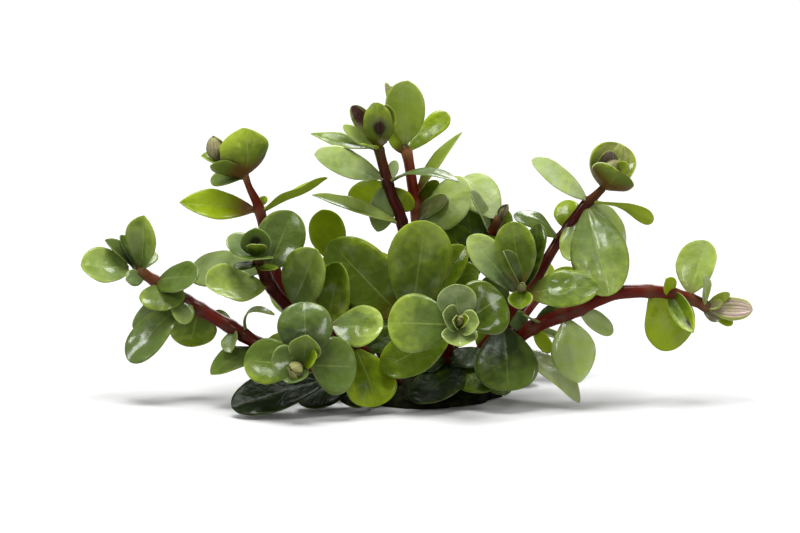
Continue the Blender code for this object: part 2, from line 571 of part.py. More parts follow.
def separate_ends(leaf, route):
    """Where a leaf of its own starts, just clear of its stem, and ends."""
    spot = place(leaf.base)
    tip = place(leaf.tip)
    centre, radius, along = nearest_on(route, spot)
    outward = tip - centre
    reach = radius + (GAP + LEAF_THICKNESS) * MM
    sideways = outward - along * outward.dot(along)
    share = sideways.length / outward.length
    if (centre - route[-1][0]).length < STEM_END_REACH * MM:
        share = 1.0
    if share < STEEP_SHARE:
        return centre + sideways.normalized() * reach, tip
    return centre + outward.normalized() * (reach / share), tip


def make_blade(name, leaf, ends, cells, collection):
    """A leaf as a thin curved sheet with an even thickness."""
    across, along = cells
    work = bmesh.new()
    bmesh.ops.create_grid(work, x_segments=across, y_segments=along, size=1.0)
    for vertex in work.verts:
        v = vertex.co.x
        u = 0.5 - 0.5 * math.cos(math.pi * (vertex.co.y + 1) / 2)
        vertex.co = blade_point(leaf, ends[0], ends[1], u, v)
    mesh = bpy.data.meshes.new(name)
    work.to_mesh(mesh)
    work.free()
    piece = bpy.data.objects.new(name, mesh)
    collection.objects.link(piece)
    shell = piece.modifiers.new("thickness", "SOLIDIFY")
    shell.thickness = LEAF_THICKNESS * MM
    shell.offset = 0.0
    return piece


def make_bud(name, centre, size, collection):
    """A closed bud: an egg shape whose size is given right, deep and up."""
    work = bmesh.new()
    bmesh.ops.create_uvsphere(work, u_segments=BUD_SEGMENTS, v_segments=BUD_RINGS, radius=1.0)
    mesh = bpy.data.meshes.new(name)
    work.to_mesh(mesh)
    work.free()
    bud = bpy.data.objects.new(name, mesh)
    bud.location = place(centre)
    bud.scale = Vector(size) * MM
    collection.objects.link(bud)
    return bud


def hide_helper(piece):
    piece.hide_render = True
    piece.display_type = "WIRE"


def join_all(target, joined):
    """Join everything in a collection to the target, in one step."""
    for piece in joined.objects:
        hide_helper(piece)
    union = target.modifiers.new("joined pieces", "BOOLEAN")
    union.operation = "UNION"
    union.solver = "EXACT"
    union.operand_type = "COLLECTION"
    union.collection = joined


def make_mound(name, grow, collection):
    """The crown's rounded form, with its lower half cut off flat on the ground."""
    work = bmesh.new()
    bmesh.ops.create_uvsphere(work, u_segments=CROWN_SEGMENTS, v_segments=CROWN_RINGS, radius=1.0)
    for vertex in work.verts:
        angle = math.atan2(vertex.co.y, vertex.co.x)
        lump = 1.0
        for number, size in (CROWN_LOBES, CROWN_RIPPLES):
            lump += size * math.sin(number * angle)
        vertex.co.x *= (CROWN_HALF_WIDTH * lump + grow) * MM
        vertex.co.y *= (CROWN_HALF_DEPTH * lump + grow) * MM
        vertex.co.z *= (CROWN_HEIGHT + grow) * MM
    bmesh.ops.bisect_plane(
        work,
        geom=work.verts[:] + work.edges[:] + work.faces[:],
        dist=WELD_DISTANCE * MM,
        plane_co=(0, 0, -grow * MM),
        plane_no=(0, 0, 1),
        clear_inner=True,
    )
    rim = [edge for edge in work.edges if edge.is_boundary]
    bmesh.ops.holes_fill(work, edges=rim)
    bmesh.ops.recalc_face_normals(work, faces=work.faces)
    mesh = bpy.data.meshes.new(name)
    work.to_mesh(mesh)
    work.free()
    mound = bpy.data.objects.new(name, mesh)
    collection.objects.link(mound)
    return mound


def make_crown(parts, helpers):
    """The crown: the knot of joined stem bases, with the stubs of older stems."""
    crown = make_mound("crown", 0.0, parts)
    joined = make_collection("crown_stubs", helpers)
    for number, (right, deep, length) in enumerate(STUBS):
        centre = place((right, GROUND_UP, deep))
        centre.z = CROWN_HEIGHT * STUB_START_SHARE * MM
        outward = Vector((right - CROWN_RIGHT, deep - CROWN_DEEP, STUB_RISE)).normalized()
        end = centre + outward * (length * MM)
        route = [(centre, STUB_RADII[0] * MM), (end, STUB_RADII[1] * MM)]
        tube("stub_" + str(number), route, joined)
    join_all(crown, joined)
    return crown


def thin_out(stem):
    """Leave out the short edges that the joins made."""
    lighter = stem.modifiers.new("fewer faces", "DECIMATE")
    lighter.ratio = KEPT_FACES
    lighter.use_collapse_triangulate = True


def cut_clear(stem, cutter):
    cut = stem.modifiers.new("clear of the crown", "BOOLEAN")
    cut.operation = "DIFFERENCE"
    cut.solver = "EXACT"
    cut.object = cutter


def build():
    clear_scene()
    parts = make_collection("orange_juice_rotala")
    helpers = make_collection("joined_and_cutting_shapes")
    leaf_materials = []
    for number, colour in enumerate(LEAF_COLOURS):
        name = "leaf_green_" + str(number + 1)
        leaf_materials.append(make_material(name, colour, LEAF_ROUGHNESS))
    stem_material = make_material("stem_red", STEM_COLOUR, STEM_ROUGHNESS)
    crown_material = make_material("crown_dark", CROWN_COLOUR, CROWN_ROUGHNESS)
    crown = make_crown(parts, helpers)
    crown.data.materials.append(crown_material)
    crown.data.shade_smooth()
    clearance = make_mound("crown_clearance", GAP, helpers)
    hide_helper(clearance)
    count = 0
    for shoot in SHOOTS:
        route = smooth_route(shoot.stem, STEM_SPACING)
        stem = tube(shoot.name + "_shoot", route, parts)
        stem.data.materials.clear()
        stem.data.materials.append(stem_material)
        joined = make_collection(shoot.name + "_joined", helpers)
        for number, leaf in enumerate(shoot.small):
            name = shoot.name + "_small_" + str(number)
            ends = joined_ends(leaf, route, number)
            make_blade(name, leaf, ends, SMALL_LEAF_CELLS, joined)
        for number, (centre, size) in enumerate(shoot.buds):
            make_bud(shoot.name + "_bud_" + str(number), centre, size, joined)
        join_all(stem, joined)
        thin_out(stem)
        cut_clear(stem, clearance)
        stem.data.shade_smooth()
        for leaf in shoot.leaves:
            ends = separate_ends(leaf, route)
            piece = make_blade(leaf.name, leaf, ends, LARGE_LEAF_CELLS, parts)
            piece.data.materials.append(leaf_materials[count % len(leaf_materials)])
            piece.data.shade_smooth()
            count += 1


build()
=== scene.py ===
# %% [markdown]
# # Orange juice rotala
# This lesson dresses a low clump of an aquarium stem plant, grown above water. It has round, glossy
# green leaves in pairs on dark red stems, and it is cut off flat below its crown, so it stands by
# itself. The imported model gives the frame: stems, leaves and crown in their right places. Each of
# them gets a finer piece here: thin leaves with a sunken midrib, stems with swollen joints, buds
# made of wrapped scales, and living-looking materials.

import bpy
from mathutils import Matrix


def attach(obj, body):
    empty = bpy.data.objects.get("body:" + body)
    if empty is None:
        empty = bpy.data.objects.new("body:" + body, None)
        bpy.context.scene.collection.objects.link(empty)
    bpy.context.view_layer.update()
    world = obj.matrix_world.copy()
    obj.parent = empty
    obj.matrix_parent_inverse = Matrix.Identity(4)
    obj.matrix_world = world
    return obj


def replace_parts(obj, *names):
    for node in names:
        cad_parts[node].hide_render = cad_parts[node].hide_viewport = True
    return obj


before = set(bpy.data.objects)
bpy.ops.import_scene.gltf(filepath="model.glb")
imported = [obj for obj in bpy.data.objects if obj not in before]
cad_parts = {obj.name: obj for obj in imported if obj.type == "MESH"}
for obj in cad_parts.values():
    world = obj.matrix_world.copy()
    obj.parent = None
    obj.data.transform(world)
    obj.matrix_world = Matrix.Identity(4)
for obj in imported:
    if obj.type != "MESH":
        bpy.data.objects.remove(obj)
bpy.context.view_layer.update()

# %% [markdown]
# The tools: `bmesh` builds the meshes, `mathutils` has vectors and a repeatable noise, and a
# `namedtuple` holds what is known of each leaf in one readable line. Every piece ends in the same
# way, so `new_piece` does it: it turns the built faces into a mesh with its materials, and puts
# that mesh in the scene as an object.

# %% Tools
import math
from collections import namedtuple

import bmesh
import bpy
from mathutils import Vector, noise

MM = 0.001
scene = bpy.context.scene
scene.view_settings.view_transform = "Standard"


def new_object(name, data):
    made = bpy.data.objects.new(name, data)
    scene.collection.objects.link(made)
    return made


def new_piece(name, work, materials):
    mesh = bpy.data.meshes.new(name)
    work.to_mesh(mesh)
    work.free()
    for material in materials:
        mesh.materials.append(material)
    return new_object(name, mesh)


print("one millimetre is", MM, "metres")

# %% [markdown]
# Every place is given as the eye sees it from the front, in millimetres: right, up, and deep, which
# is the distance away from the viewer along the ground. The eye looks 10 degrees down, so a spot
# further back on the ground appears higher. `place` turns such a spot into the model's frame, and
# `direction` does the same for the way a leaf's upper side faces: right, up and near.

# %% From the front view to the model's frame
VIEW_TILT = math.radians(10.0)
GROUND_UP = 3.5
CROWN_RIGHT = 4.5
CROWN_DEEP = 1.5


def place(spot):
    right, up, deep = spot[:3]
    height = (up - GROUND_UP - deep * math.sin(VIEW_TILT)) / math.cos(VIEW_TILT)
    return Vector(((right - CROWN_RIGHT) * MM, (deep - CROWN_DEEP) * MM, height * MM))


def direction(face):
    right, up, near = face
    sine, cosine = math.sin(VIEW_TILT), math.cos(VIEW_TILT)
    return Vector((right, up * sine - near * cosine, up * cosine + near * sine)).normalized()


crown_up = GROUND_UP + CROWN_DEEP * math.sin(VIEW_TILT)
print("the crown stands at", place((CROWN_RIGHT, crown_up, CROWN_DEEP)))

# %% [markdown]
# The camera comes early, because every later choice is judged through it. A long lens far away
# keeps the small plant free of strong perspective. The frame is 160 mm wide at the plant, and the
# lens follows from that: sensor width times distance, over the width of the frame.

# %% Camera
CAMERA_DISTANCE = 1.9
CAMERA_SIGHT = 20.0
FRAME_WIDTH = 0.160
FRAME_CENTRE_UP = 30.1

aim = place((0.0, FRAME_CENTRE_UP, 0.0))
camera_data = bpy.data.cameras.new("camera")
camera_data.lens = camera_data.sensor_width * CAMERA_DISTANCE / FRAME_WIDTH
camera_data.clip_end = CAMERA_SIGHT
camera = new_object("camera", camera_data)
camera.location = aim + CAMERA_DISTANCE * Vector((0, -math.cos(VIEW_TILT), math.sin(VIEW_TILT)))
camera.rotation_euler = (aim - camera.location).to_track_quat("-Z", "Y").to_euler()
scene.camera = camera
print("lens in millimetres:", round(camera_data.lens))

# %% [markdown]
# A studio for a small glossy plant. The floor is wide and grey, and it lies a tenth of a millimetre
# low, so that it never fights with the plant's flat cut for the same place. A large soft light
# overhead does most of the work. Weaker ones stand behind, which makes the thin leaves glow, at
# both sides and in front. The world adds a little even light, so that no shadow is quite black.

# %% Floor
FLOOR_RADIUS = 12.0
FLOOR_CORNERS = 64
FLOOR_LOW = 0.1
FLOOR_GREY = 0.46

paper = bpy.data.materials.new("floor_paper")
paper.use_nodes = True
paper_inputs = paper.node_tree.nodes["Principled BSDF"].inputs
paper_inputs["Base Color"].default_value = (FLOOR_GREY, FLOOR_GREY, FLOOR_GREY, 1)
paper_inputs["Roughness"].default_value = 0.9
paper_inputs["Specular IOR Level"].default_value = 0.1
work = bmesh.new()
bmesh.ops.create_circle(work, cap_ends=True, radius=FLOOR_RADIUS, segments=FLOOR_CORNERS)
floor = new_piece("floor", work, [paper])
floor.location.z = -FLOOR_LOW * MM
print("floor radius:", FLOOR_RADIUS, "m")

# %% Lights
WORLD_STRENGTH = 0.25
Lamp = namedtuple("Lamp", "name spot size power")
LAMPS = [
    Lamp("overhead", (-0.1, -0.1, 1.1), 0.6, 23.0),
    Lamp("behind", (0.2, 0.8, 0.6), 0.4, 6.0),
    Lamp("left", (-0.8, -0.5, 0.6), 0.22, 4.0),
    Lamp("right", (0.85, -0.3, 0.5), 0.2, 2.5),
    Lamp("front", (0.1, -1.1, 0.55), 0.2, 2.0),
]
for lamp in LAMPS:
    light = bpy.data.lights.new(lamp.name, "AREA")
    light.shape = "SQUARE"
    light.size = lamp.size
    light.energy = lamp.power
    lamp_object = new_object(lamp.name, light)
    lamp_object.location = lamp.spot
    lamp_object.rotation_euler = (aim - Vector(lamp.spot)).to_track_quat("-Z", "Y").to_euler()
world = bpy.data.worlds.new("studio")
scene.world = world
world.use_nodes = True
world.node_tree.nodes["Background"].inputs["Color"].default_value = (1, 1, 1, 1)
world.node_tree.nodes["Background"].inputs["Strength"].default_value = WORLD_STRENGTH
print("lights:", [lamp.name for lamp in LAMPS])

# %% [markdown]
# ## Materials
# A living surface is never one colour. `Mottling` is the effect that all of the plant's materials
# share, so it is a node group: broad patches and a finer crinkle for colour and relief, and a fine
# grain, with named sockets. A few helpers keep the node code short. `add` makes a node and fills its
# inputs with values or links, `new_group` makes a group with its sockets, and `new_material` makes a
# material with no nodes in it. `times`, `plus` and `minus` are sums, and `remap` moves one range of
# numbers smoothly into another.

# %% Node helpers
def set_input(tree, socket, value):
    if isinstance(value, bpy.types.NodeSocket):
        tree.links.new(value, socket)
    else:
        socket.default_value = value


def add(tree, kind, values=(), **settings):
    node = tree.nodes.new(kind)
    for key, value in settings.items():
        setattr(node, key, value)
    for key, value in dict(values).items():
        set_input(tree, node.inputs[key], value)
    return node


def new_group(name, inputs, outputs):
    tree = bpy.data.node_groups.new(name, "ShaderNodeTree")
    for socket_name, kind, value in inputs:
        socket = tree.interface.new_socket(
            socket_name, in_out="INPUT", socket_type="NodeSocket" + kind)
        socket.default_value = value
    for socket_name, kind in outputs:
        tree.interface.new_socket(socket_name, in_out="OUTPUT", socket_type="NodeSocket" + kind)
    inside = tree.nodes.new("NodeGroupInput").outputs
    return tree, inside, tree.nodes.new("NodeGroupOutput").inputs


def new_material(name):
    material = bpy.data.materials.new(name)
    material.use_nodes = True
    material.node_tree.nodes.clear()
    return material, material.node_tree


def maths(tree, operation, first, second=0.0, clamp=False):
    values = {0: first, 1: second}
    return add(tree, "ShaderNodeMath", values, operation=operation, use_clamp=clamp).outputs[0]


def times(tree, first, second, clamp=False):
    return maths(tree, "MULTIPLY", first, second, clamp)


def plus(tree, first, second, clamp=False):
    return maths(tree, "ADD", first, second, clamp)


def minus(tree, first, second):
    return maths(tree, "SUBTRACT", first, second)


def mix_colours(tree, share, first, second):
    # in a Mix node set to colours, inputs 0, 6 and 7 are the share and the two colours
    return add(tree, "ShaderNodeMix", {0: share, 6: first, 7: second}, data_type="RGBA").outputs[2]


def remap(tree, value, low, high, to_low=0.0, to_high=1.0):
    ends = {"Value": value, "From Min": low, "From Max": high, "To Min": to_low, "To Max": to_high}
    return add(tree, "ShaderNodeMapRange", ends, interpolation_type="SMOOTHSTEP").outputs["Result"]


def attribute(tree, name):
    return add(tree, "ShaderNodeAttribute", attribute_name=name).outputs["Fac"]


def centred(tree, value, size):
    """A noise from 0 to 1, moved to both sides of zero and made smaller."""
    return times(tree, minus(tree, value, 0.5), size)


print("node helpers ready")

# %% The mottling that all the materials share
CRINKLE_TO_PATCH = 2.7

mottling, given, gives = new_group(
    "Mottling",
    [("Patch scale", "Float", 260.0), ("Grain scale", "Float", 2600.0)],
    [("Patches", "Float"), ("Crinkle", "Float"), ("Grain", "Float")],
)
where = add(mottling, "ShaderNodeTexCoord").outputs["Object"]
crinkle_scale = times(mottling, given["Patch scale"], CRINKLE_TO_PATCH)
for output, scale, detail, roughness in (
    ("Patches", given["Patch scale"], 3.0, 0.5),
    ("Crinkle", crinkle_scale, 2.0, 0.4),
    ("Grain", given["Grain scale"], 2.0, 0.5),
):
    values = {"Vector": where, "Scale": scale, "Detail": detail, "Roughness": roughness}
    texture = add(mottling, "ShaderNodeTexNoise", values)
    mottling.links.new(texture.outputs["Fac"], gives[output])
print("group:", mottling.name)

# %% [markdown]
# A leaf has its own map: one coordinate runs across it and one along it from base to tip. From these
# two numbers the group `Leaf pattern` draws everything a leaf shows: the fine pale midrib that thins
# out towards the tip, the side veins that sweep forward and hardly show, the thin margin, and the
# brownish base. What differs from leaf to leaf comes from numbers stored on the mesh: `tone` (dark to
# fresh: the leaf's own colour, with painted shade on the low leaves under the clump and painted light
# on one shaded leaf), `blush` (brown base), the painted sheen (a grey-green reflection of the lamps,
# laid on in patches), `flush` (purple-brown with dark stripes, in the buds) and `rim` (a cream edge, on
# the youngest leaves).

# %% The leaf pattern
VEIN_PAIRS = 6.0
VEIN_SWEEP = 1.5
VEIN_HALF_WIDTH = 0.11
RIB_WIDTHS = (0.07, 0.02)
MARGIN_START = 0.93

leaf_pattern, given, gives = new_group(
    "Leaf pattern",
    [
        ("Deep", "Color", (0.006, 0.012, 0.001, 1)),
        ("Middle", "Color", (0.070, 0.115, 0.005, 1)),
        ("Fresh", "Color", (0.27, 0.36, 0.010, 1)),
        ("Vein", "Color", (0.30, 0.38, 0.09, 1)),
        ("Vein strength", "Float", 0.4),
        ("Relief", "Float", 1.0),
    ],
    [("Colour", "Color"), ("Height", "Float"), ("Roughness", "Float"), ("Wet", "Float")],
)
tree = leaf_pattern
leaf_map = add(tree, "ShaderNodeUVMap", uv_map="leaf").outputs[0]
parts = add(tree, "ShaderNodeSeparateXYZ", {0: leaf_map}).outputs
along = parts["Y"]
across = maths(tree, "ABSOLUTE", minus(tree, times(tree, parts["X"], 2.0), 1.0))
mottle = add(tree, "ShaderNodeGroup", node_tree=mottling).outputs

rib_width = remap(tree, along, 0.0, 1.0, *RIB_WIDTHS)
midrib = minus(tree, 1.0, remap(tree, maths(tree, "DIVIDE", across, rib_width), 0.25, 1.0))
midrib = times(tree, midrib, remap(tree, along, 0.7, 1.0, 1.0, 0.2))
vein_place = minus(tree, times(tree, along, VEIN_PAIRS), times(tree, across, VEIN_SWEEP))
vein_wave = maths(tree, "ABSOLUTE", minus(tree, maths(tree, "FRACT", vein_place), 0.5))
side_vein = minus(tree, 1.0, remap(tree, vein_wave, 0.0, VEIN_HALF_WIDTH))
side_vein = times(tree, side_vein, remap(tree, across, 0.55, 0.95, 1.0, 0.0))
margin = remap(tree, across, MARGIN_START, 1.0)
print("leaf map, midrib, side veins and margin are in", leaf_pattern.name)

# %% [markdown]
# The colours are laid one over the other, as layers of paint. First comes the green, between deep,
# middle and fresh, by the leaf's tone and the noises, with painted light that makes the thin edges
# lighter, as if light shone through them. Over it lie the veins, a painted grey-green sheen that stands
# in for the lamps' reflection, the brown of the base, the purple of the buds with its lengthwise
# stripes, and last the cream edge.

# %% The leaf's colours
# painted sheen: the grey-green reflection of the lamps laid into the colour, darker on dark leaves and
# paler on fresh ones
PAINTED_SHEEN_DARK, PAINTED_SHEEN_PALE = (0.14, 0.20, 0.08, 1), (0.42, 0.50, 0.28, 1)
BASE_BROWN = (0.115, 0.06, 0.012, 1)
MAUVE_DARK, MAUVE_PALE = (0.035, 0.012, 0.010, 1), (0.46, 0.34, 0.30, 1)
STRIPE_BROWN = (0.10, 0.05, 0.04, 1)
EDGE_CREAM = (0.55, 0.60, 0.28, 1)
STRIPES = 7.0

tone, blush, bloom, flush, rim = [
    attribute(tree, name) for name in ("tone", "blush", "bloom", "flush", "rim")]
uneven = plus(tree, centred(tree, mottle["Patches"], 0.4), centred(tree, mottle["Crinkle"], 0.35))
# painted light: the green made lighter towards the thin edges, as if light shone through them
uneven = plus(tree, uneven, remap(tree, across, 0.5, 1.0, 0.0, 0.14))
# how light the green is: the leaf's own tone together with the painted light and shade that it carries
leaf_lightness = plus(tree, tone, uneven, clamp=True)
colour = mix_colours(tree, remap(tree, leaf_lightness, 0.0, 0.5), given["Deep"], given["Middle"])
colour = mix_colours(tree, remap(tree, leaf_lightness, 0.5, 1.0), colour, given["Fresh"])

vein_share = maths(tree, "MAXIMUM", midrib, times(tree, side_vein, 0.06))
vein_share = times(tree, vein_share, remap(tree, leaf_lightness, 0.0, 0.5, 0.1, 1.0))
vein_share = times(tree, vein_share, given["Vein strength"])
colour = mix_colours(tree, vein_share, colour, given["Vein"])

# painted sheen over the green, in patches set by the noise
painted_sheen_colour = mix_colours(tree, remap(tree, tone, 0.2, 1.1), PAINTED_SHEEN_DARK, PAINTED_SHEEN_PALE)
painted_sheen_share = times(tree, bloom, remap(tree, mottle["Patches"], 0.3, 0.65, 0.35, 0.7))
colour = mix_colours(tree, painted_sheen_share, colour, painted_sheen_colour)

base_length = plus(tree, times(tree, blush, 0.3), 0.2)
base_share = remap(tree, maths(tree, "DIVIDE", along, base_length), 0.0, 1.0, 1.0, 0.0)
base_share = times(tree, base_share, plus(tree, blush, 0.25), clamp=True)
colour = mix_colours(tree, base_share, colour, BASE_BROWN)

purple = times(tree, flush, remap(tree, mottle["Patches"], 0.3, 0.7, 0.6, 1.2), clamp=True)
purple = times(tree, purple, remap(tree, across, 0.6, 0.92, 1.0, 0.2))
mauve = mix_colours(tree, remap(tree, tone, 0.0, 1.0), MAUVE_DARK, MAUVE_PALE)
stripe = maths(tree, "FRACT", times(tree, parts["X"], STRIPES))
stripe = maths(tree, "ABSOLUTE", minus(tree, stripe, 0.5))
mauve = mix_colours(tree, remap(tree, stripe, 0.0, 0.25, 0.75, 0.0), mauve, STRIPE_BROWN)
colour = mix_colours(tree, purple, colour, mauve)

edge = times(tree, margin, plus(tree, rim, 0.12), clamp=True)
colour = mix_colours(tree, edge, colour, EDGE_CREAM)
tree.links.new(colour, gives["Colour"])
print("leaf colours are in", leaf_pattern.name)

# %% [markdown]
# The same noises shape the surface. The crinkle gives most of the relief, the patches less and the
# grain hardly any, and the side veins are sunken. The skin is wet in some places and dry in others,
# and dark leaves are the driest, so that the film on the plant looks broken and not painted on.

# %% The leaf's surface
RELIEF_HEIGHTS = (("Grain", 0.5), ("Patches", 2.0), ("Crinkle", 4.0))
SIDE_VEIN_RELIEF = -0.3

relief = times(tree, side_vein, SIDE_VEIN_RELIEF)
for name, height in RELIEF_HEIGHTS:
    relief = plus(tree, relief, times(tree, mottle[name], height))
tree.links.new(times(tree, relief, given["Relief"]), gives["Height"])
rough = plus(tree, times(tree, mottle["Grain"], 0.16), 0.24)
rough = plus(tree, rough, times(tree, margin, 0.1))
tree.links.new(rough, gives["Roughness"])
wet_patch = remap(tree, mottle["Patches"], 0.42, 0.6, 0.15, 1.0)
wet = times(tree, wet_patch, remap(tree, leaf_lightness, 0.0, 0.4, 0.1, 1.0))
tree.links.new(wet, gives["Wet"])
print("leaf surface is in", leaf_pattern.name)

# %% [markdown]
# A leaf is thin enough for light to come through. Each leaf material therefore mixes two shaders:
# a Principled surface with a thin wet coat, and a Translucent one that lets the light from behind
# shine through. Its glow is yellow-green in a fresh leaf and nearly black in a dark one, and brown
# where the leaf is brown or purple. The upper side is glossy, the underside paler and duller, and
# the rim gets its own thin pale line.

# %% Leaf materials
GLOW_DARK, GLOW_FRESH = (0.02, 0.035, 0.002, 1), (0.37, 0.47, 0.012, 1)
GLOW_BROWN = (0.10, 0.05, 0.02, 1)


def leaf_glow(tree):
    leaf_map = add(tree, "ShaderNodeUVMap", uv_map="leaf").outputs[0]
    along = add(tree, "ShaderNodeSeparateXYZ", {0: leaf_map}).outputs["Y"]
    fresh = remap(tree, attribute(tree, "tone"), 0.0, 0.95)
    glow = mix_colours(tree, fresh, GLOW_DARK, GLOW_FRESH)
    base = times(tree, attribute(tree, "blush"), remap(tree, along, 0.0, 0.5, 1.0, 0.0))
    dull = maths(tree, "MAXIMUM", attribute(tree, "flush"), base, clamp=True)
    return mix_colours(tree, dull, glow, GLOW_BROWN)


def leaf_material(name, looks, through, coat, rougher, depth_mm):
    material, tree = new_material(name)
    pattern = add(tree, "ShaderNodeGroup", node_tree=leaf_pattern)
    for key, value in looks.items():
        pattern.inputs[key].default_value = value
    depth = {"Height": pattern.outputs["Height"], "Strength": 0.5, "Distance": depth_mm * MM}
    skin = add(tree, "ShaderNodeBsdfPrincipled", {
        "Base Color": pattern.outputs["Colour"],
        "Roughness": plus(tree, pattern.outputs["Roughness"], rougher),
        "Normal": add(tree, "ShaderNodeBump", depth).outputs["Normal"],
        "Coat Weight": times(tree, pattern.outputs["Wet"], coat),
        "Coat Roughness": 0.12,
        "Specular IOR Level": 0.08,
    })
    light_through = add(tree, "ShaderNodeBsdfTranslucent", {"Color": leaf_glow(tree)})
    layers = {0: through, 1: skin.outputs[0], 2: light_through.outputs[0]}
    both = add(tree, "ShaderNodeMixShader", layers)
    add(tree, "ShaderNodeOutputMaterial", {"Surface": both.outputs[0]})
    return material


UNDER_LOOKS = {
    "Deep": (0.012, 0.020, 0.003, 1),
    "Middle": (0.11, 0.155, 0.018, 1),
    "Fresh": (0.30, 0.38, 0.03, 1),
    "Relief": -1.0,
}
RIM_LOOKS = {"Middle": (0.12, 0.17, 0.02, 1), "Fresh": (0.34, 0.42, 0.05, 1)}
LEAF_MATERIALS = [
    leaf_material("leaf_upper", {"Relief": 1.0}, 0.3, 0.6, 0.0, 0.12),
    leaf_material("leaf_under", UNDER_LOOKS, 0.3, 0.2, 0.14, 0.12),
    leaf_material("leaf_rim", RIM_LOOKS, 0.4, 0.3, 0.1, 0.1),
]
print("leaf materials:", [material.name for material in LEAF_MATERIALS])

# %% [markdown]
# The stems are a dark maroon that turns redder and lighter towards the tips. Their own map runs round
# the stem and along it in millimetres. Fine lengthwise streaks come from a noise stretched along that
# map. The joints, where the leaf pairs sit, are nearly black on the dark stems and brownish on the
# lighter ones.

# %% Stem material
RED_DARK, RED_FRESH = (0.018, 0.003, 0.002, 1), (0.17, 0.015, 0.006, 1)
RED_PATCH = (0.16, 0.045, 0.015, 1)
JOINT_DARK, JOINT_PALE = (0.015, 0.004, 0.002, 1), (0.22, 0.10, 0.05, 1)
STEM_GREEN = (0.16, 0.20, 0.035, 1)
STREAK_STRETCH = (6.0, 0.15, 1.0)

stem_material, tree = new_material("stem_rind")
rind_map = add(tree, "ShaderNodeUVMap", uv_map="rind").outputs[0]
stretch = {"Vector": rind_map, "Scale": STREAK_STRETCH}
stretched = add(tree, "ShaderNodeMapping", stretch).outputs[0]
streak_look = {"Vector": stretched, "Scale": 2.2, "Detail": 3.0}
streaks = add(tree, "ShaderNodeTexNoise", streak_look).outputs["Fac"]
mottle = add(tree, "ShaderNodeGroup", node_tree=mottling).outputs
tone = attribute(tree, "tone")
redness = plus(tree, tone, centred(tree, streaks, 0.6), clamp=True)
red = mix_colours(tree, redness, RED_DARK, RED_FRESH)
red = mix_colours(tree, remap(tree, mottle["Patches"], 0.55, 0.75, 0.0, 0.3), red, RED_PATCH)
joint_colour = mix_colours(tree, remap(tree, tone, 0.2, 0.7), JOINT_DARK, JOINT_PALE)
red = mix_colours(tree, times(tree, attribute(tree, "joint"), 0.6), red, joint_colour)
red = mix_colours(tree, times(tree, attribute(tree, "green"), 0.85), red, STEM_GREEN)
height = plus(tree, streaks, times(tree, mottle["Grain"], 0.4))
bump = add(tree, "ShaderNodeBump", {"Height": height, "Strength": 0.25, "Distance": 0.1 * MM})
skin = add(tree, "ShaderNodeBsdfPrincipled", {
    "Base Color": red,
    "Roughness": remap(tree, mottle["Grain"], 0.3, 0.7, 0.26, 0.42),
    "Normal": bump.outputs["Normal"],
    "Coat Weight": remap(tree, mottle["Patches"], 0.4, 0.6, 0.03, 0.2),
    "Coat Roughness": 0.15,
    "Specular IOR Level": 0.05,
})
add(tree, "ShaderNodeOutputMaterial", {"Surface": skin.outputs[0]})
print("material:", stem_material.name)

# %% [markdown]
# The crown is old, dark tissue, near-black green and brown, and this near-blackness is partly painted
# shade where the crown lies under the clump. It is rough, with pale specks. Where it was cut, below and
# on the stubs, it shows paler tissue in patches.

# %% Crown materials
CROWN_MOTTLING = {"Patch scale": 420.0, "Grain scale": 3200.0}
CROWN_ROUGHNESS = 0.6


def crown_material(name, dark, light, speck):
    material, tree = new_material(name)
    mottle = add(tree, "ShaderNodeGroup", CROWN_MOTTLING, node_tree=mottling).outputs
    colour = mix_colours(tree, remap(tree, mottle["Patches"], 0.35, 0.65), dark, light)
    specks = remap(tree, mottle["Grain"], 0.6, 0.72, 0.0, 0.7)
    colour = mix_colours(tree, specks, colour, speck)
    height = plus(tree, mottle["Patches"], times(tree, mottle["Grain"], 0.5))
    rough = remap(tree, mottle["Grain"], 0.3, 0.7, CROWN_ROUGHNESS, CROWN_ROUGHNESS + 0.2)
    depth = {"Height": height, "Strength": 0.7, "Distance": 0.4 * MM}
    skin = add(tree, "ShaderNodeBsdfPrincipled", {
        "Base Color": colour,
        "Roughness": rough,
        "Normal": add(tree, "ShaderNodeBump", depth).outputs["Normal"],
        "Specular IOR Level": 0.05,
    })
    add(tree, "ShaderNodeOutputMaterial", {"Surface": skin.outputs[0]})
    return material


# near-black rind: old tissue, and partly painted shade under the clump
crown_rind = crown_material(
    "crown_rind", (0.003, 0.004, 0.0015, 1), (0.012, 0.015, 0.004, 1), (0.05, 0.045, 0.015, 1))
crown_cut = crown_material(
    "crown_cut", (0.12, 0.12, 0.05, 1), (0.30, 0.30, 0.15, 1), (0.42, 0.38, 0.2, 1))
print("materials:", crown_rind.name, crown_cut.name)

# %% [markdown]
# ## Leaves
# A leaf is described by where it starts and ends and by a few numbers for its shape. The same numbers
# shaped the solids, so the fine leaf lies where its solid does. `arch` lifts the middle, `curl` the
# tip, `cup` and `fold` raise the two edges round the midrib, `twist` turns the tip in degrees, and
# `widest` says where the leaf is widest. `full` rounds the base, `point` sharpens the tip, `pleat` adds
# ridges along the leaf, and `dimple` a hollow at a place along and across, with its radius and depth.
# The rest are looks: `blot` is a dark spot with its place and size, `lift` makes the tip lighter than
# the base, partly from the leaf's age and partly as painted shade near the stem, and `lean` makes one
# half lighter than the other, as painted light on the side that the light falls on.

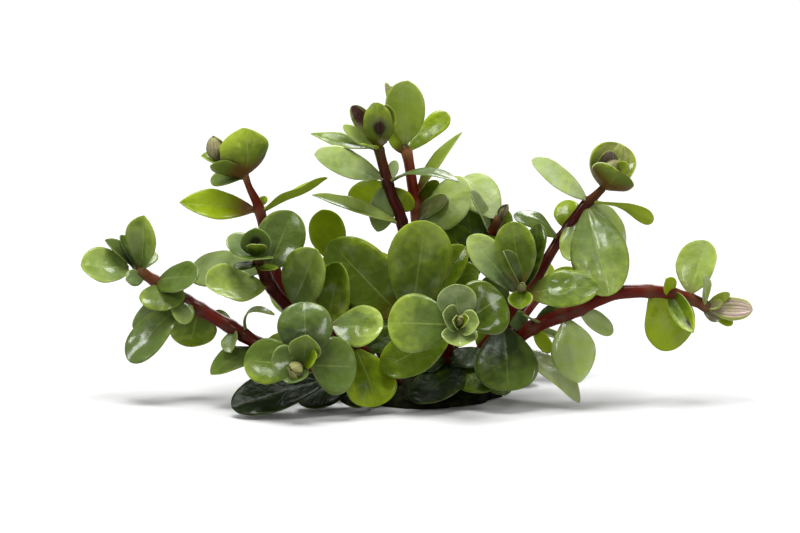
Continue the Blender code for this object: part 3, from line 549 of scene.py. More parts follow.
# %% What is known of a leaf
USUAL_FORM = {
    "arch": 0.0, "cup": 0.3, "fold": 0.0, "curl": 0.0, "twist": 0.0, "widest": 0.55, "full": 0.0,
    "point": 0.0, "pleat": 0.0, "dimple": None, "blot": None,
}
USUAL_LOOKS = {"lift": 0.3, "lean": 0.0, "blush": 0.0, "bloom": 0.0, "flush": 0.0, "rim": 0.0}
Blade = namedtuple(
    "Blade", ["name", "base", "tip", "width", "face", "tone", *USUAL_FORM, *USUAL_LOOKS],
    defaults=[*USUAL_FORM.values(), *USUAL_LOOKS.values()])
print("a leaf has", len(Blade._fields), "values")

# %% [markdown]
# The outline of a leaf is two curves that meet where it is widest. A power of the distance from
# there gives each its form: the base tapers, or is round where the leaf is `full`, and the tip is
# round, or sharper where the leaf has a `point`.

# %% The outline
BASE_FORM = (1.7, 0.8)
FULL_BASE_FORM = (2.3, 0.5)
TIP_FORM = (2.2, 0.5)
POINTED_TIP_FORM = (1.5, 0.9)


def between(first, second, share):
    return first + (second - first) * share


def outline(leaf, u):
    """The half width at a place along the leaf, as a share of the widest."""
    if u < leaf.widest:
        away = (leaf.widest - u) / leaf.widest
        plain, changed, share = BASE_FORM, FULL_BASE_FORM, leaf.full
    else:
        away = (u - leaf.widest) / (1 - leaf.widest)
        plain, changed, share = TIP_FORM, POINTED_TIP_FORM, leaf.point
    fullness, taper = [between(*pair, share) for pair in zip(plain, changed)]
    return max(0.0, 1 - away ** fullness) ** taper


plain_leaf = Blade("", None, None, 1, None, 0.5)
print("half width shares:", [round(outline(plain_leaf, step / 4), 2) for step in range(5)])

# %% [markdown]
# The leaf's sheet is a formula: for each place `u` along the leaf and `v` across it, it gives a
# point. To the solids' form the fine leaf adds what only a close look shows. The midrib is sunken,
# the edges wave a little and turn down, the blade is uneven, and some leaves have pleats or a
# hollow with a ring round it. Lengths are in millimetres.

# %% The leaf's sheet
PETIOLE_WIDTH = 1.3
TIP_WIDTH_SHARE = 0.03
RIB_DEPTH = 0.16
RIB_HALF_WIDTH = 0.4
RIB_FADE = 0.7
WAVE_SHARE = 0.035
WAVES = 1.6
WAVE_OFFSET = 1.1
EDGE_DROP = 0.12
UNEVEN_DEPTH = 0.4
UNEVEN_SCALE = 230.0
PLEAT_PERIOD = 0.42
RING_SHARE = 0.55
RING_PLACE = 1.5
RING_WIDTH = 0.45
STRAIGHT = 0.001


def bell(distance, width):
    return math.exp(-(distance / width) ** 2)


def leaf_axes(start, tip, face):
    along = (tip - start).normalized()
    face = (face - along * face.dot(along)).normalized()
    return along, face, along.cross(face)


def hollow_depth(leaf, length, half, u, v):
    if not leaf.dimple:
        return 0.0
    spot_u, spot_v, radius, depth = leaf.dimple
    far = math.hypot((u - spot_u) * length, (v - spot_v) * half) / (radius * MM)
    return depth * MM * (bell(far, 1.0) - RING_SHARE * bell(far - RING_PLACE, RING_WIDTH))


def sheet_point(leaf, start, tip, axes, phase, u, v):
    # the middle line, arched, curled and twisted
    along, face, side = axes
    length = (tip - start).length
    turn = math.radians(leaf.twist) * u
    side, face = (
        side * math.cos(turn) + face * math.sin(turn),
        face * math.cos(turn) - side * math.sin(turn),
    )
    lift = leaf.arch * 4 * u * (1 - u) + leaf.curl * u ** 3
    slope = leaf.arch * 4 * (1 - 2 * u) + leaf.curl * 3 * u ** 2
    middle = start + along * (length * u) + face * (lift * length)
    normal = (face - along * slope).normalized()
    # out to the side, cupped like part of a tube and folded
    share = max(outline(leaf, u), PETIOLE_WIDTH / leaf.width * (1 - u), TIP_WIDTH_SHARE)
    half = leaf.width * MM * 0.5 * share
    bend = max(leaf.cup, STRAIGHT)
    across = half * math.sin(bend * abs(v)) / bend
    rise = half * (1 - math.cos(bend * v)) / bend
    wide = across * math.cos(leaf.fold) - rise * math.sin(leaf.fold)
    high = across * math.sin(leaf.fold) + rise * math.cos(leaf.fold)
    point = middle + side * math.copysign(wide, v)
    # what only a close look shows
    rib = RIB_DEPTH * MM * bell(across, RIB_HALF_WIDTH * MM) * (1 - RIB_FADE * u)
    wave = math.sin(math.tau * (WAVES * u + phase) + math.copysign(WAVE_OFFSET, v))
    edge = half * (WAVE_SHARE * wave * v ** 2 - EDGE_DROP * v ** 4)
    uneven = UNEVEN_DEPTH * MM * noise.noise(point * UNEVEN_SCALE) * share
    pleats = leaf.pleat * MM * share * math.cos(math.tau * v / PLEAT_PERIOD)
    hollow = hollow_depth(leaf, length, half, u, v)
    return point + normal * (high - rib + edge + uneven + pleats - hollow)


flat_axes = leaf_axes(Vector((0, 0, 0)), Vector((0, 0.01, 0)), Vector((0, 0, 1)))
print("axes of a flat leaf:", flat_axes)

# %% [markdown]
# A grid of faces is laid on the sheet, closer at both ends, where the outline bends most. Each
# corner also gets its place on the leaf's map, the five numbers for its looks, and a weight for its
# thickness: a leaf is thickest along the midrib and in its short stalk, and thin at the edge.

# %% A grid on the sheet
LEAF_CELLS = (16, 26)
SMALL_LEAF_CELLS = (12, 18)
PHASE_SCALE = 900.0
LOOKS = ("tone", "blush", "bloom", "flush", "rim")
RIB_REACH = 0.45
STALK_LENGTH = 0.12
LAMINA_SHARE = 0.34
RIB_SHARE = 0.5
EDGE_THINNING = 0.55


def thickness_share(across_mm, u, v):
    rib = bell(across_mm, RIB_REACH) * (1 - 0.75 * u)
    stalk = max(0.0, 1 - u / STALK_LENGTH)
    thick = (LAMINA_SHARE + RIB_SHARE * rib) * (1 - EDGE_THINNING * v ** 4)
    return min(1.0, thick + (1 - LAMINA_SHARE) * stalk)


def start_leaves():
    work = bmesh.new()
    layers = {look: work.verts.layers.float.new(look) for look in LOOKS}
    layers["weight"] = work.verts.layers.deform.new()
    layers["map"] = work.loops.layers.uv.new("leaf")
    return work, layers


def lay_leaf(work, layers, leaf, start, tip, face, cells):
    axes = leaf_axes(start, tip, face)
    phase = noise.noise(start * PHASE_SCALE)
    grid = bmesh.ops.create_grid(work, x_segments=cells[0], y_segments=cells[1], size=1.0)["verts"]
    spots = {}
    for vertex in grid:
        v = vertex.co.x
        u = 0.5 - 0.5 * math.cos(math.pi * (vertex.co.y + 1) / 2)
        spots[vertex] = (0.5 + 0.5 * v, u)
        vertex.co = sheet_point(leaf, start, tip, axes, phase, u, v)
        for look in LOOKS:
            vertex[layers[look]] = getattr(leaf, look)
        # painted light and shade: lift darkens the base, partly for age and partly as painted shade
        # near the stem, and lean lightens one half as painted light on one side
        vertex[layers["tone"]] += leaf.lift * (u - 0.5) + leaf.lean * v * 0.5
        # a dark spot: on most leaves their own mark, on one cupped leaf painted shade in its crease
        if leaf.blot:
            spot_u, spot_v, size = leaf.blot
            dark = bell(u - spot_u, size) * bell(v - spot_v, 2 * size)
            vertex[layers["tone"]] -= dark
            vertex[layers["flush"]] += dark
        across_mm = abs(v) * leaf.width * 0.5 * outline(leaf, u)
        vertex[layers["weight"]][0] = thickness_share(across_mm, u, v)
    for cell in {near for vertex in grid for near in vertex.link_faces}:
        cell.smooth = True
        for corner in cell.loops:
            corner[layers["map"]].uv = spots[corner.vert]


print("cells on a large leaf:", LEAF_CELLS[0] * LEAF_CELLS[1])

# %% [markdown]
# A Solidify modifier gives the sheet its thickness by that weight, with the second material below
# and the third on the rim. This keeps one sheet to shape, and both sides always fit each other.

# %% From the sheet to a leaf with thickness
THICKEST = 0.62


def finish_leaves(name, work):
    piece = new_piece(name, work, LEAF_MATERIALS)
    piece.vertex_groups.new(name="thickness")
    shell = piece.modifiers.new("thickness", "SOLIDIFY")
    shell.thickness = THICKEST * MM
    shell.offset = 0.0
    shell.vertex_group = "thickness"
    shell.material_offset = 1
    shell.material_offset_rim = 2
    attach(piece, "root")
    return piece


print("a leaf is at most", THICKEST, "mm thick")

# %% [markdown]
# ## Stems
# A stem is a row of rings along a smooth curve through a few chosen spots. The curve passes through
# every spot, and its radius changes evenly from one spot to the next.

# %% The stem's curve
def smooth_route(spots, spacing):
    places = [place(spot) for spot in spots]
    radii = [spot[3] * MM for spot in spots]
    ends = [places[0] * 2 - places[1]] + places + [places[-1] * 2 - places[-2]]
    route = []
    for index in range(len(places) - 1):
        before, start, finish, after = ends[index:index + 4]
        steps = max(1, round((finish - start).length / (spacing * MM)))
        for step in range(steps):
            t = step / steps
            point = 0.5 * (
                2 * start
                + (finish - before) * t
                + (2 * before - 5 * start + 4 * finish - after) * t ** 2
                + (3 * start - before - 3 * finish + after) * t ** 3
            )
            route.append((point, radii[index] * (1 - t) + radii[index + 1] * t))
    route.append((places[-1], radii[-1]))
    return route


def nearest_on(route, spot):
    """The point of the route closest to a spot, with its radius and direction."""
    best = None
    for (start, radius_a), (finish, radius_b) in zip(route, route[1:]):
        along = finish - start
        share = min(1.0, max(0.0, (spot - start).dot(along) / along.length_squared))
        point = start + along * share
        distance = (spot - point).length
        if best is None or distance < best[0]:
            radius = radius_a * (1 - share) + radius_b * share
            best = (distance, point, radius, along.normalized())
    return best[1:]


test_route = smooth_route([(0, 0, 0, 1), (0, 10, 0, 1), (5, 20, 0, 0.5)], 1.0)
print("points on a short route:", len(test_route))

# %% [markdown]
# The rings swell slightly at each joint, where a pair of leaves sits, and close to a round end at
# the tip. They are joined into a skin by hand, because the swelling, the map and the looks belong
# to each ring. The number `tone` reddens the stem along its way, `joint` marks the joints, and
# `green` the last soft bit. Leaves that start close together share one joint.

# %% The stem's skin
RING_SPACING = 0.7
RING_CORNERS = 18
SWELL_SHARE = 0.16
SWELL_REACH = 1.1
LUMP_SHARE = 0.05
LUMP_SCALE = 260.0
ROUND_END = 0.9
END_SHRINK = 0.9
JOINT_MERGE = 2.5
GREEN_START = 0.88


def ring_lengths(route):
    """How far along the stem each of its rings is."""
    lengths = [0.0]
    for (start, _), (finish, _) in zip(route, route[1:]):
        lengths.append(lengths[-1] + (finish - start).length)
    return lengths


def joint_distances(route, leaves):
    """How far along the stem its joints are, from the leaves that start there."""
    lengths = ring_lengths(route)
    found = []
    for leaf in leaves:
        spot = nearest_on(route, place(leaf.base))[0]
        rings = [((spot - centre).length, length) for (centre, _), length in zip(route, lengths)]
        found.append(min(rings)[1])
    joints = []
    for distance in sorted(found):
        if not joints or distance - joints[-1] > JOINT_MERGE * MM:
            joints.append(distance)
    return joints


def stem_skin(name, route, joints, tones, green_tip):
    work = bmesh.new()
    looks = {look: work.verts.layers.float.new(look) for look in ("tone", "joint", "green")}
    rind = work.loops.layers.uv.new("rind")
    lengths = ring_lengths(route)
    total = lengths[-1]
    rings = []
    maps = {}
    across = (route[1][0] - route[0][0]).normalized().orthogonal()
    for index, (centre, radius) in enumerate(route):
        length = lengths[index]
        ahead = route[min(index + 1, len(route) - 1)][0]
        behind = route[max(index - 1, 0)][0]
        along = (ahead - behind).normalized()
        across = (across - along * across.dot(along)).normalized()
        second = along.cross(across)
        nearness = max(bell(length - joint, SWELL_REACH * MM) for joint in joints)
        past = max(0.0, 1 - (total - length) / (ROUND_END * MM))
        ring = []
        for corner in range(RING_CORNERS):
            angle = math.tau * corner / RING_CORNERS
            outward = across * math.cos(angle) + second * math.sin(angle)
            lump = 1 + SWELL_SHARE * nearness
            lump += LUMP_SHARE * noise.noise(centre * LUMP_SCALE + outward * 1.3)
            lump *= math.sqrt(1 - END_SHRINK * past ** 2)
            vertex = work.verts.new(centre + outward * (radius * lump))
            vertex[looks["tone"]] = between(*tones, length / total)
            vertex[looks["joint"]] = nearness
            soft = (length / total - GREEN_START) / (1 - GREEN_START)
            vertex[looks["green"]] = green_tip * max(0.0, soft)
            maps[vertex] = (corner, length / MM)
            ring.append(vertex)
        rings.append(ring)
    for lower, upper in zip(rings, rings[1:]):
        for corner in range(RING_CORNERS):
            after = (corner + 1) % RING_CORNERS
            quad = work.faces.new((lower[corner], lower[after], upper[after], upper[corner]))
            quad.smooth = True
            for loop in quad.loops:
                turn, distance = maps[loop.vert]
                if after == 0 and turn == 0:
                    turn = RING_CORNERS
                loop[rind].uv = (turn / RING_CORNERS, distance)
    work.faces.new(list(reversed(rings[0])))
    work.faces.new(rings[-1])
    piece = new_piece(name, work, [stem_material])
    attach(piece, "root")
    return piece


print("corners in a ring:", RING_CORNERS)

# %% [markdown]
# ## Buds
# A bud is a small egg of young leaves. Pairs of cupped scales wrap it, each pair turned a quarter
# turn from the last and smaller than it, as the leaf pairs on the stem are.

# %% A bud
SCALE_PAIRS = 3
SCALE_CELLS = (10, 12)
SCALE_TURN = 0.3
SCALE_CUP = 1.35
SCALE_BEND = 0.3
PAIR_SHRINK = 0.24
FOOT_DEPTH, FOOT_OUT = 0.95, 0.2
TIP_DROP, TIP_OUT = 0.1, 0.12
BUD_TONE = 0.55
BUD_FLUSH = 0.5


def lay_bud(work, layers, centre, axis, size):
    across = axis.orthogonal().normalized()
    second = axis.cross(across)
    height = size[2] * MM
    girth = (size[0] + size[1]) * 0.5 * MM
    for pair in range(SCALE_PAIRS):
        shrink = 1 - PAIR_SHRINK * pair
        arch = -SCALE_BEND * girth / height * shrink
        foot = centre - axis * (height * FOOT_DEPTH)
        top = centre + axis * (height * (1 - TIP_DROP * pair))
        flush = min(1.0, BUD_FLUSH + 0.25 * pair)
        for side in (0, 1):
            angle = math.pi * side + pair * math.pi / 2 + SCALE_TURN
            outward = across * math.cos(angle) + second * math.sin(angle)
            start = foot + outward * (girth * FOOT_OUT * shrink)
            tip = top + outward * (girth * TIP_OUT * shrink)
            width = 2 * girth / MM * shrink
            tone = BUD_TONE + 0.1 * (side - pair)
            scale = Blade("", None, None, width, None, tone, arch=arch, cup=SCALE_CUP, widest=0.5,
                          flush=flush)
            lay_leaf(work, layers, scale, start, tip, -outward, SCALE_CELLS)


print("scales in a bud:", 2 * SCALE_PAIRS)

# %% [markdown]
# ## The clump
# Now the clump itself: thirteen shoots that the front shows and four behind. `grow` starts a shoot
# with the spots of its stem: right, up, deep and radius. The calls below it add to that shoot.
# `large` adds a leaf that has a solid of its own, by name, and `small` a young leaf that is one
# with its stem. Both say where the leaf starts, where its tip is, how wide it is, which way its upper
# side faces, and its tone. `bud` adds a bud, by its middle and its size right, deep and up.

# %% How a shoot is written down
Shoot = namedtuple("Shoot", "name stem leaves small buds")
SHOOTS = []


def grow(name, *stem):
    SHOOTS.append(Shoot(name, list(stem), [], [], []))


def large(name, base, tip, width, face, tone, **form):
    full_name = SHOOTS[-1].name + "_" + name + "_leaf"
    SHOOTS[-1].leaves.append(Blade(full_name, base, tip, width, face, tone, **form))


def small(base, tip, width, face, tone, **form):
    SHOOTS[-1].small.append(Blade("", base, tip, width, face, tone, **form))


def bud(middle, size):
    SHOOTS[-1].buds.append((middle, size))


def tell(count):
    """Say what the latest shoots carry."""
    for shoot in SHOOTS[-count:]:
        sizes = len(shoot.leaves), len(shoot.small), len(shoot.buds)
        print("%s: %d large leaves, %d small ones, %d buds" % (shoot.name, *sizes))


print("shoots so far:", len(SHOOTS))

# %% [markdown]
# The first three shoots lean to the left. The far left one is long, red and arched, with its
# leaves in loose pairs. The upper left one ends in a hood, brown where it starts, over a bud.

# %% The shoots at the left
grow("far_left", (-6, 5.5, -1.5, 1.3), (-14, 8.6, -4, 1.3), (-27.6, 14.4, -5.5, 1.3),
    (-34, 18.2, -4.5, 1.35), (-42.8, 23.2, -2, 1.35), (-49, 27.2, 0, 1.15), (-52.8, 29.6, 0, 1))
large("outer", (-52.8, 29.2, 0), (-64, 30.4, -2.5), 9.2, (0.2, 0.6, 0.8), 0.65, cup=0.6, full=0.6,
    bloom=0.5)
large("upright", (-51.6, 28.8, 0), (-51, 40.6, -2.5), 8, (-0.45, 0.1, 0.85), 0.62, cup=0.1, fold=0.35,
    widest=0.6, point=0.4, lift=0.5, lean=0.2, bloom=0.3)
large("upper", (-49, 27.4, -1), (-40.2, 27.8, -7.4), 8.2, (-0.1, 0.55, 0.8), 0.37, arch=0.06, full=0.6,
    lift=0.15, bloom=0.3)
large("lower", (-49, 27, -1), (-46.6, 21.2, -7), 9.4, (0.1, 0.55, 0.85), 0.6, arch=0.08, full=0.6,
    lift=0.1, bloom=0.3)
large("long", (-43, 22.8, -3), (-54.4, 10.8, -6), 8.2, (-0.35, 0.4, 0.85), 0.5, arch=0.08, widest=0.6,
    lift=-0.3, bloom=0.5)
large("back", (-40, 21.4, -1.5), (-42.4, 13.8, 3.5), 9.6, (0.2, 0.2, 0.9), 0.6, widest=0.48, blush=0.3)
large("low", (-27.6, 14.2, -6), (-38, 8.4, -10), 8.2, (-0.15, 0.8, 0.55), 0.4, arch=0.06, widest=0.48,
    point=0.6, lift=0.5, bloom=0.3)
small((-52.8, 29.8, 0), (-59.2, 35.6, 1.6), 5, (0.6, 0.4, 0.7), 0.2, fold=0.5, point=0.3, lift=0.7,
    bloom=0.3)
small((-52.8, 29.8, 0), (-56, 36.6, 2.8), 3.6, (0.5, 0.2, 0.8), 0.12, fold=0.5, lift=0.6, lean=0.3,
    bloom=0.2)
small((-52.6, 29.4, 0.5), (-49.8, 33.6, 3.4), 5, (-0.3, 0.3, 0.9), 0.6, widest=0.65, bloom=0.7)
small((-44.8, 24.2, -1.2), (-53.8, 17.6, 3), 5.6, (0.1, 0.6, 0.8), 0.5, fold=0.3, pleat=0.12, bloom=0.7)
small((-45, 24.4, -1.4), (-42.8, 18.4, -7), 4.8, (0.2, 0.4, 0.9), 0.7, arch=0.12, bloom=0.7)
small((-33.6, 18, -4.8), (-33.8, 12.8, -9), 4.8, (-0.6, 0.3, 0.75), 0.6, fold=0.4, bloom=0.9)
small((-31.4, 16.6, -5.2), (-24.8, 20.6, -7.5), 3.6, (-0.6, 0.8, 0.1), 0.75, arch=0.5, cup=0.1, bloom=1)
small((-51.8, 28.4, -0.4), (-54.8, 27.4, -3.4), 3.6, (0.3, 0.2, 0.9), 0.5, bloom=0.8, rim=0.6)
small((-34, 18.6, -4.5), (-37, 21.4, -2.6), 2.6, (0, 0.3, 0.9), 0.8, bloom=0.6)

grow("upper_left", (-4, 5.5, 5, 1.25), (-12, 10, 7, 1.3), (-22, 20.4, 8, 1.3), (-26.8, 36.4, 6, 1.15),
    (-28.4, 42.2, 5, 1), (-30.2, 46, 4.5, 0.7), (-31.2, 49, 4, 0.65))
large("left", (-28.2, 41.2, 5), (-44.6, 43, 3), 7.4, (0.1, 0.5, 0.9), 0.95, fold=0.2, point=0.8,
    lift=-0.4, lean=0.2, blush=1)
large("right", (-28.2, 41, 5), (-13.8, 47.2, 3), 6.4, (-0.4, 0.9, 0), 1.5, fold=0.45, curl=0.06,
    point=0.3, lift=0.1, rim=0.2)
small((-31, 48.6, 4), (-31.4, 58, 2.4), 12, (-0.35, 0, -0.95), 0.66, arch=-0.2, cup=0.9, widest=0.6,
    full=1.3, pleat=0.08, lift=0.4, lean=0.1, blush=1)
small((-31, 48.4, 4), (-38, 50.4, 2), 7, (0.2, 0.8, -0.5), 0.35, arch=-0.1, cup=0.9, full=0.8, lift=0.6,
    blush=1.6)
small((-31.2, 49, 4.4), (-40, 52.4, 4), 3.2, (0.3, 0.6, 0.7), 0.75, fold=0.5, widest=0.8, bloom=0.4)
small((-31, 48.6, 4.6), (-38.2, 47.6, 8), 4, (0, 0.5, 0.8), 0.5, widest=0.7, bloom=0.4)
small((-28.8, 42.4, 5), (-26.8, 44.2, 5.6), 1.8, (0, 0.3, 0.9), 0.8)
bud((-37.4, 54.2, 4.4), (1.6, 1.6, 1.6))
bud((-34.2, 52.4, 4.2), (3.4, 1.9, 2.2))
bud((-36.8, 53.6, 4.6), (2.6, 2.4, 2.6))

grow("mid_left", (-2, 6, 1, 1.3), (-10, 12.4, -1, 1.3), (-20, 20, -3, 1.25), (-25, 25, -5, 1.2),
    (-27.6, 29.8, -8, 1.1), (-28.8, 32.2, -11, 0.9))
large("upright", (-26.2, 28, -7.4), (-21.2, 41.4, -4.5), 10.6, (-0.15, 0.1, 1), 0.36, fold=0.2,
    lift=0.4, bloom=0.3)
large("far", (-27.2, 29.2, -7.2), (-42.4, 29.6, 3.4), 9, (-0.1, 0.5, 0.9), 0.58, arch=0.03, widest=0.6,
    bloom=0.8)
large("near", (-25.6, 26, -6.2), (-39.2, 25.8, -14.4), 10.4, (0.1, 0.6, 0.8), 0.75, cup=0.75, curl=0.06,
    widest=0.6, lift=0.1, bloom=0.5)
large("inner", (-21.6, 21.6, -3.8), (-16.4, 33.8, -12), 10.6, (-0.1, 0.3, 0.95), 0.6, fold=0.2,
    bloom=0.3)
small((-28.6, 31.8, -10.6), (-34.2, 36.4, -7.5), 5.6, (0.5, 0.1, 0.9), 0.3, cup=0.5, lift=0.9,
    bloom=0.8)
# painted shade: the dark spot along the middle of this cupped leaf darkens its crease
small((-28.8, 32, -11), (-28.6, 37.9, -13.4), 7, (0, 0.1, 1), 0.45, cup=0.8, widest=0.5,
    blot=(0.55, 0, 0.12), lift=0.4, bloom=0.5, rim=0.2)
small((-28.8, 32, -11), (-29.6, 31.4, -17.6), 8.4, (0.05, 1, 0.1), 0.36, cup=0.45, bloom=0.3, rim=0.4)
small((-28, 31, -9.6), (-33, 29.8, -12.5), 3.6, (0, 0.8, 0.5), 0.14, lift=0.2)
small((-28, 30.8, -9.6), (-24.6, 28.8, -13.4), 3.6, (0, 0.8, 0.5), 0.4, curl=0.15, lift=0.6)
small((-15.4, 16.6, -2.2), (-11.8, 31.2, -10), 8.6, (-0.3, 0.2, 0.9), 0.66, fold=0.1, lift=-0.2,
    lean=0.2)
small((-28.8, 32.4, -11.2), (-28.4, 34.6, -16), 4.6, (0, 0.9, -0.3), 0.5, cup=0.7, rim=0.5)
small((-15.4, 16.6, -2.2), (-9.2, 24.6, -4), 6, (0, 0.3, 0.9), 0.2)

tell(3)

# %% [markdown]
# These come towards the viewer and show their tips: cupped leaves round a bud, with cream edges.
# The large leaves behind the tips face the viewer, and the lowest ones reach the ground.

# %% The shoots in front
grow("centre", (3, 6, -1, 1.25), (2.4, 12, -2.5, 1.2), (2, 18, -4, 1.1), (2.4, 22.4, -2.8, 1))
large("dark", (1.8, 18.4, -3.6), (-14.4, 35.4, -3.2), 12.8, (-0.1, 0.1, 1), 0.5, fold=0.1, widest=0.56,
    lift=0, lean=0.2, blush=0.6)
large("tall", (2.2, 19.6, -4), (5.2, 39.8, -9), 13, (0, 0.1, 1), 0.62, cup=0.22, widest=0.6, lift=0.4,
    bloom=0.15)
small((2.4, 22, -3), (13.4, 34.4, -2), 8, (-0.3, 0.1, 0.9), 0.45, fold=0.2, lift=0.5)
small((2.4, 22, -3), (-4.8, 33.2, -0.2), 5.2, (0.3, 0.1, 0.9), 0.85)
small((2.4, 22, -3), (15.8, 30.2, 0), 8.2, (-0.2, 0.2, 0.9), 0.35, lift=0.5)
bud((2.5, 22.6, -5.4), (1.2, 1.2, 1.6))

grow("low_left", (0, 6, -4, 1.2), (-5, 11, -8.5, 1.15), (-11, 16, -12.5, 1.05), (-15.5, 19, -15, 0.9))
large("ringed", (-14.4, 18.6, -14.4), (-2.8, 17.6, -17.5), 9.8, (0, 0.45, 0.9), 0.65, cup=0.5, curl=0.1,
    dimple=(0.7, 0.05, 1.6, 0.7), lift=0.5, bloom=0.4)
large("bright", (-9.6, 14.6, -11.6), (-4.4, 2, -17), 11.6, (0.4, 0.3, 0.9), 0.69, arch=0.06,
    widest=0.66)
small((-15.2, 18.8, -15), (-17.8, 21.6, -15.6), 3, (0.2, 0.2, 1), 0.6, cup=0.6)
small((-7.4, 13, -10.2), (-0.6, 17.4, -8.6), 5.6, (0, 0.4, 0.9), 0.15)

grow("front_left", (-3, 5, -5.5, 1.25), (-8, 6.6, -11, 1.2), (-14, 9, -17, 1.1),
    (-19.4, 10.8, -23.5, 0.9))
large("top", (-18.6, 10.8, -22.4), (-19, 23.4, -19), 11.2, (0, 0.35, 0.95), 0.2, arch=0.15, lift=0.6,
    lean=0.15, bloom=0.4)
large("right", (-19, 11, -22.8), (-8.4, 10.2, -21), 12, (0.1, 0.2, 1), 0.4, widest=0.52, bloom=0.4)
large("left", (-19, 10.8, -22.8), (-31.2, 11.6, -20.5), 10, (0.15, 0.3, 0.95), 0.54, cup=0.4, lift=0.1,
    lean=-0.2, bloom=0.2)
# painted shade: this leaf lies low under the clump, and its near-black tone is partly painted shade
large("ground", (-12.6, 8.2, -15.6), (-34, 2, -19), 10.4, (0, 0.65, 0.75), -0.1, fold=0.1, widest=0.62,
    lift=0.1)
small((-19.2, 10.8, -23.4), (-18.2, 17.2, -26), 7.6, (-0.1, -0.3, 1), 0.57, cup=0.9, curl=0.15,
    bloom=0.5, rim=0.3)
small((-19.4, 10.8, -23.4), (-25.6, 11.2, -27), 7.6, (0.9, 0.1, 0.35), 0.4, cup=0.5, bloom=0.5, rim=0.2)
small((-19.2, 10.6, -23.4), (-16.4, 12.6, -27.5), 4.2, (-0.9, 0.2, 0.3), 0.7, cup=0.5, blush=0.4)
small((-19.4, 10.6, -23.4), (-22.2, 7, -28), 6.2, (0, 0.9, 0.4), 0.33, cup=0.6, bloom=0.5, rim=0.2)
# painted shade: these two young leaves lie on the ground under the clump, near-black partly as painted
# shade
small((-9, 7, -12), (-21, 3.6, -12.6), 9, (0, 0.7, 0.7), -0.1)
small((-6, 6, -9), (-12, 3.2, -13.6), 8, (0, 0.7, 0.7), 0.05)
bud((-20.8, 9.8, -26), (2.2, 1.8, 1.8))
bud((-20.6, 9.4, -26.6), (2.6, 1.7, 1.7))

grow("front", (8.4, 7.4, -2.4, 1.25), (9.4, 13, -5, 1.2), (10.8, 16.6, -13, 1.05),
    (11.8, 18.8, -21.5, 0.9))
large("left_hand", (11.6, 18.4, -20.6), (-2.8, 19, -17.8), 12.2, (0.1, 0.15, 1), 0.53, cup=0.3,
    widest=0.6, lift=0.7, bloom=0.3)
large("lower", (10.6, 15.4, -15), (-4.2, 9.6, -14.5), 9.8, (-0.2, 0.35, 0.9), 0.5, lift=0.1)
large("right_hand", (11.6, 19, -20.4), (20.6, 24.4, -18.5), 12.2, (0.1, 0.2, 1), 0.35, lift=0.2,
    rim=0.1)
small((11.8, 19, -21.2), (10.8, 26.8, -21), 8.8, (0, 0, 1), 0.55, cup=0.8, widest=0.6, bloom=0.9,
    rim=0.2)
small((11.6, 18.4, -21.2), (8.4, 20.8, -25.5), 6, (0.8, 0.1, 0.6), 0.5, cup=0.8, bloom=0.8, rim=0.6)
small((12, 18.4, -21.2), (15.6, 19, -25.5), 6, (-0.8, 0.2, 0.5), 0.75, cup=0.8, bloom=0.6, rim=1)
small((11.8, 18, -21.2), (11.8, 14.2, -26), 7.8, (0, 0.9, 0.5), 0.52, cup=0.7, lift=0.8, bloom=0.6,
    rim=1)
small((9.4, 13, -5), (17, 11.4, -7.6), 5.4, (0, 0.5, 0.8), -0.1, bloom=0.2)
small((9.2, 13, -5), (2.6, 10.2, -9), 5.6, (0, 0.5, 0.85), -0.1)
small((9.3, 11, -4.6), (18.8, 5.6, -13), 7.4, (0.1, 0.4, 0.9), 0.27)
small((11.8, 18.6, -21.2), (10.4, 19.4, -25.6), 3.4, (0.7, 0.1, 0.6), 0.6, cup=0.9, rim=1)
small((12, 18.6, -21.2), (13.6, 19.8, -25.6), 3.2, (-0.7, 0.2, 0.6), 0.7, cup=0.9, rim=1)
bud((11.9, 19.4, -22.6), (1.2, 1.2, 1.6))

tell(4)

# %% [markdown]
# The right shoot is the thickest, and arches over to the side. The upper right one carries two
# leaves that fold round its bud, with cream edges, and one leaf that is twisted edge-on.

# %% The shoots at the right
grow("centre_right", (11, 6, -1, 1.25), (16, 13, -3, 1.2), (21, 19.6, -6, 1.1), (23.8, 24, -10, 1),
    (24.2, 25.8, -13, 0.9))
large("upright", (24.1, 25.2, -11.8), (22.2, 39.4, -11), 8.8, (-0.2, 0.05, 1), 0.5, cup=0.5, lift=0.4,
    blush=0.5, bloom=0.1)
large("pale", (23.6, 24.2, -10.4), (13.4, 36.4, -8), 8, (0.2, 0.5, 0.85), 0.48, fold=0.2, lift=1.2,
    bloom=0.8)
large("side", (24, 24.4, -10.8), (39.8, 26, -13.5), 8.4, (0, 0.45, 0.9), 0.57, arch=0.05,
    dimple=(0.5, -0.25, 1.7, 0.5), lift=0.1, blush=0.5, bloom=0.2)
large("hanging", (20.8, 18.8, -5.8), (21.6, 5, -16), 13, (0.05, 0.35, 0.95), 0.14, arch=0.06,
    fold=-0.25, widest=0.6, pleat=0.1, lift=0.5, lean=-0.2, bloom=0.2)
large("ground", (15.2, 11.6, -2.8), (2.2, 3, -17), 8.8, (-0.2, 0.5, 0.85), 0.02, lift=-0.1)
small((24.1, 25.6, -12.6), (20.4, 33.4, -16.5), 4.8, (0.8, 0.1, 0.5), 0.3, fold=0.5, blush=0.5, rim=0.4)
small((24.1, 25.4, -12.6), (23.8, 21.6, -17), 5.6, (-0.1, 0.8, 0.6), 0.56, cup=0.8, rim=0.5)
small((24.1, 25, -11.4), (28, 39, -7), 6, (-0.6, 0, 0.8), 0.15, cup=0.2)
small((20.4, 18.6, -5.4), (17.6, 28.6, -6.6), 6.6, (0, 0.3, 0.95), 0.28, lift=0.4)
bud((24.2, 26, -13.4), (1.2, 1.2, 1.6))

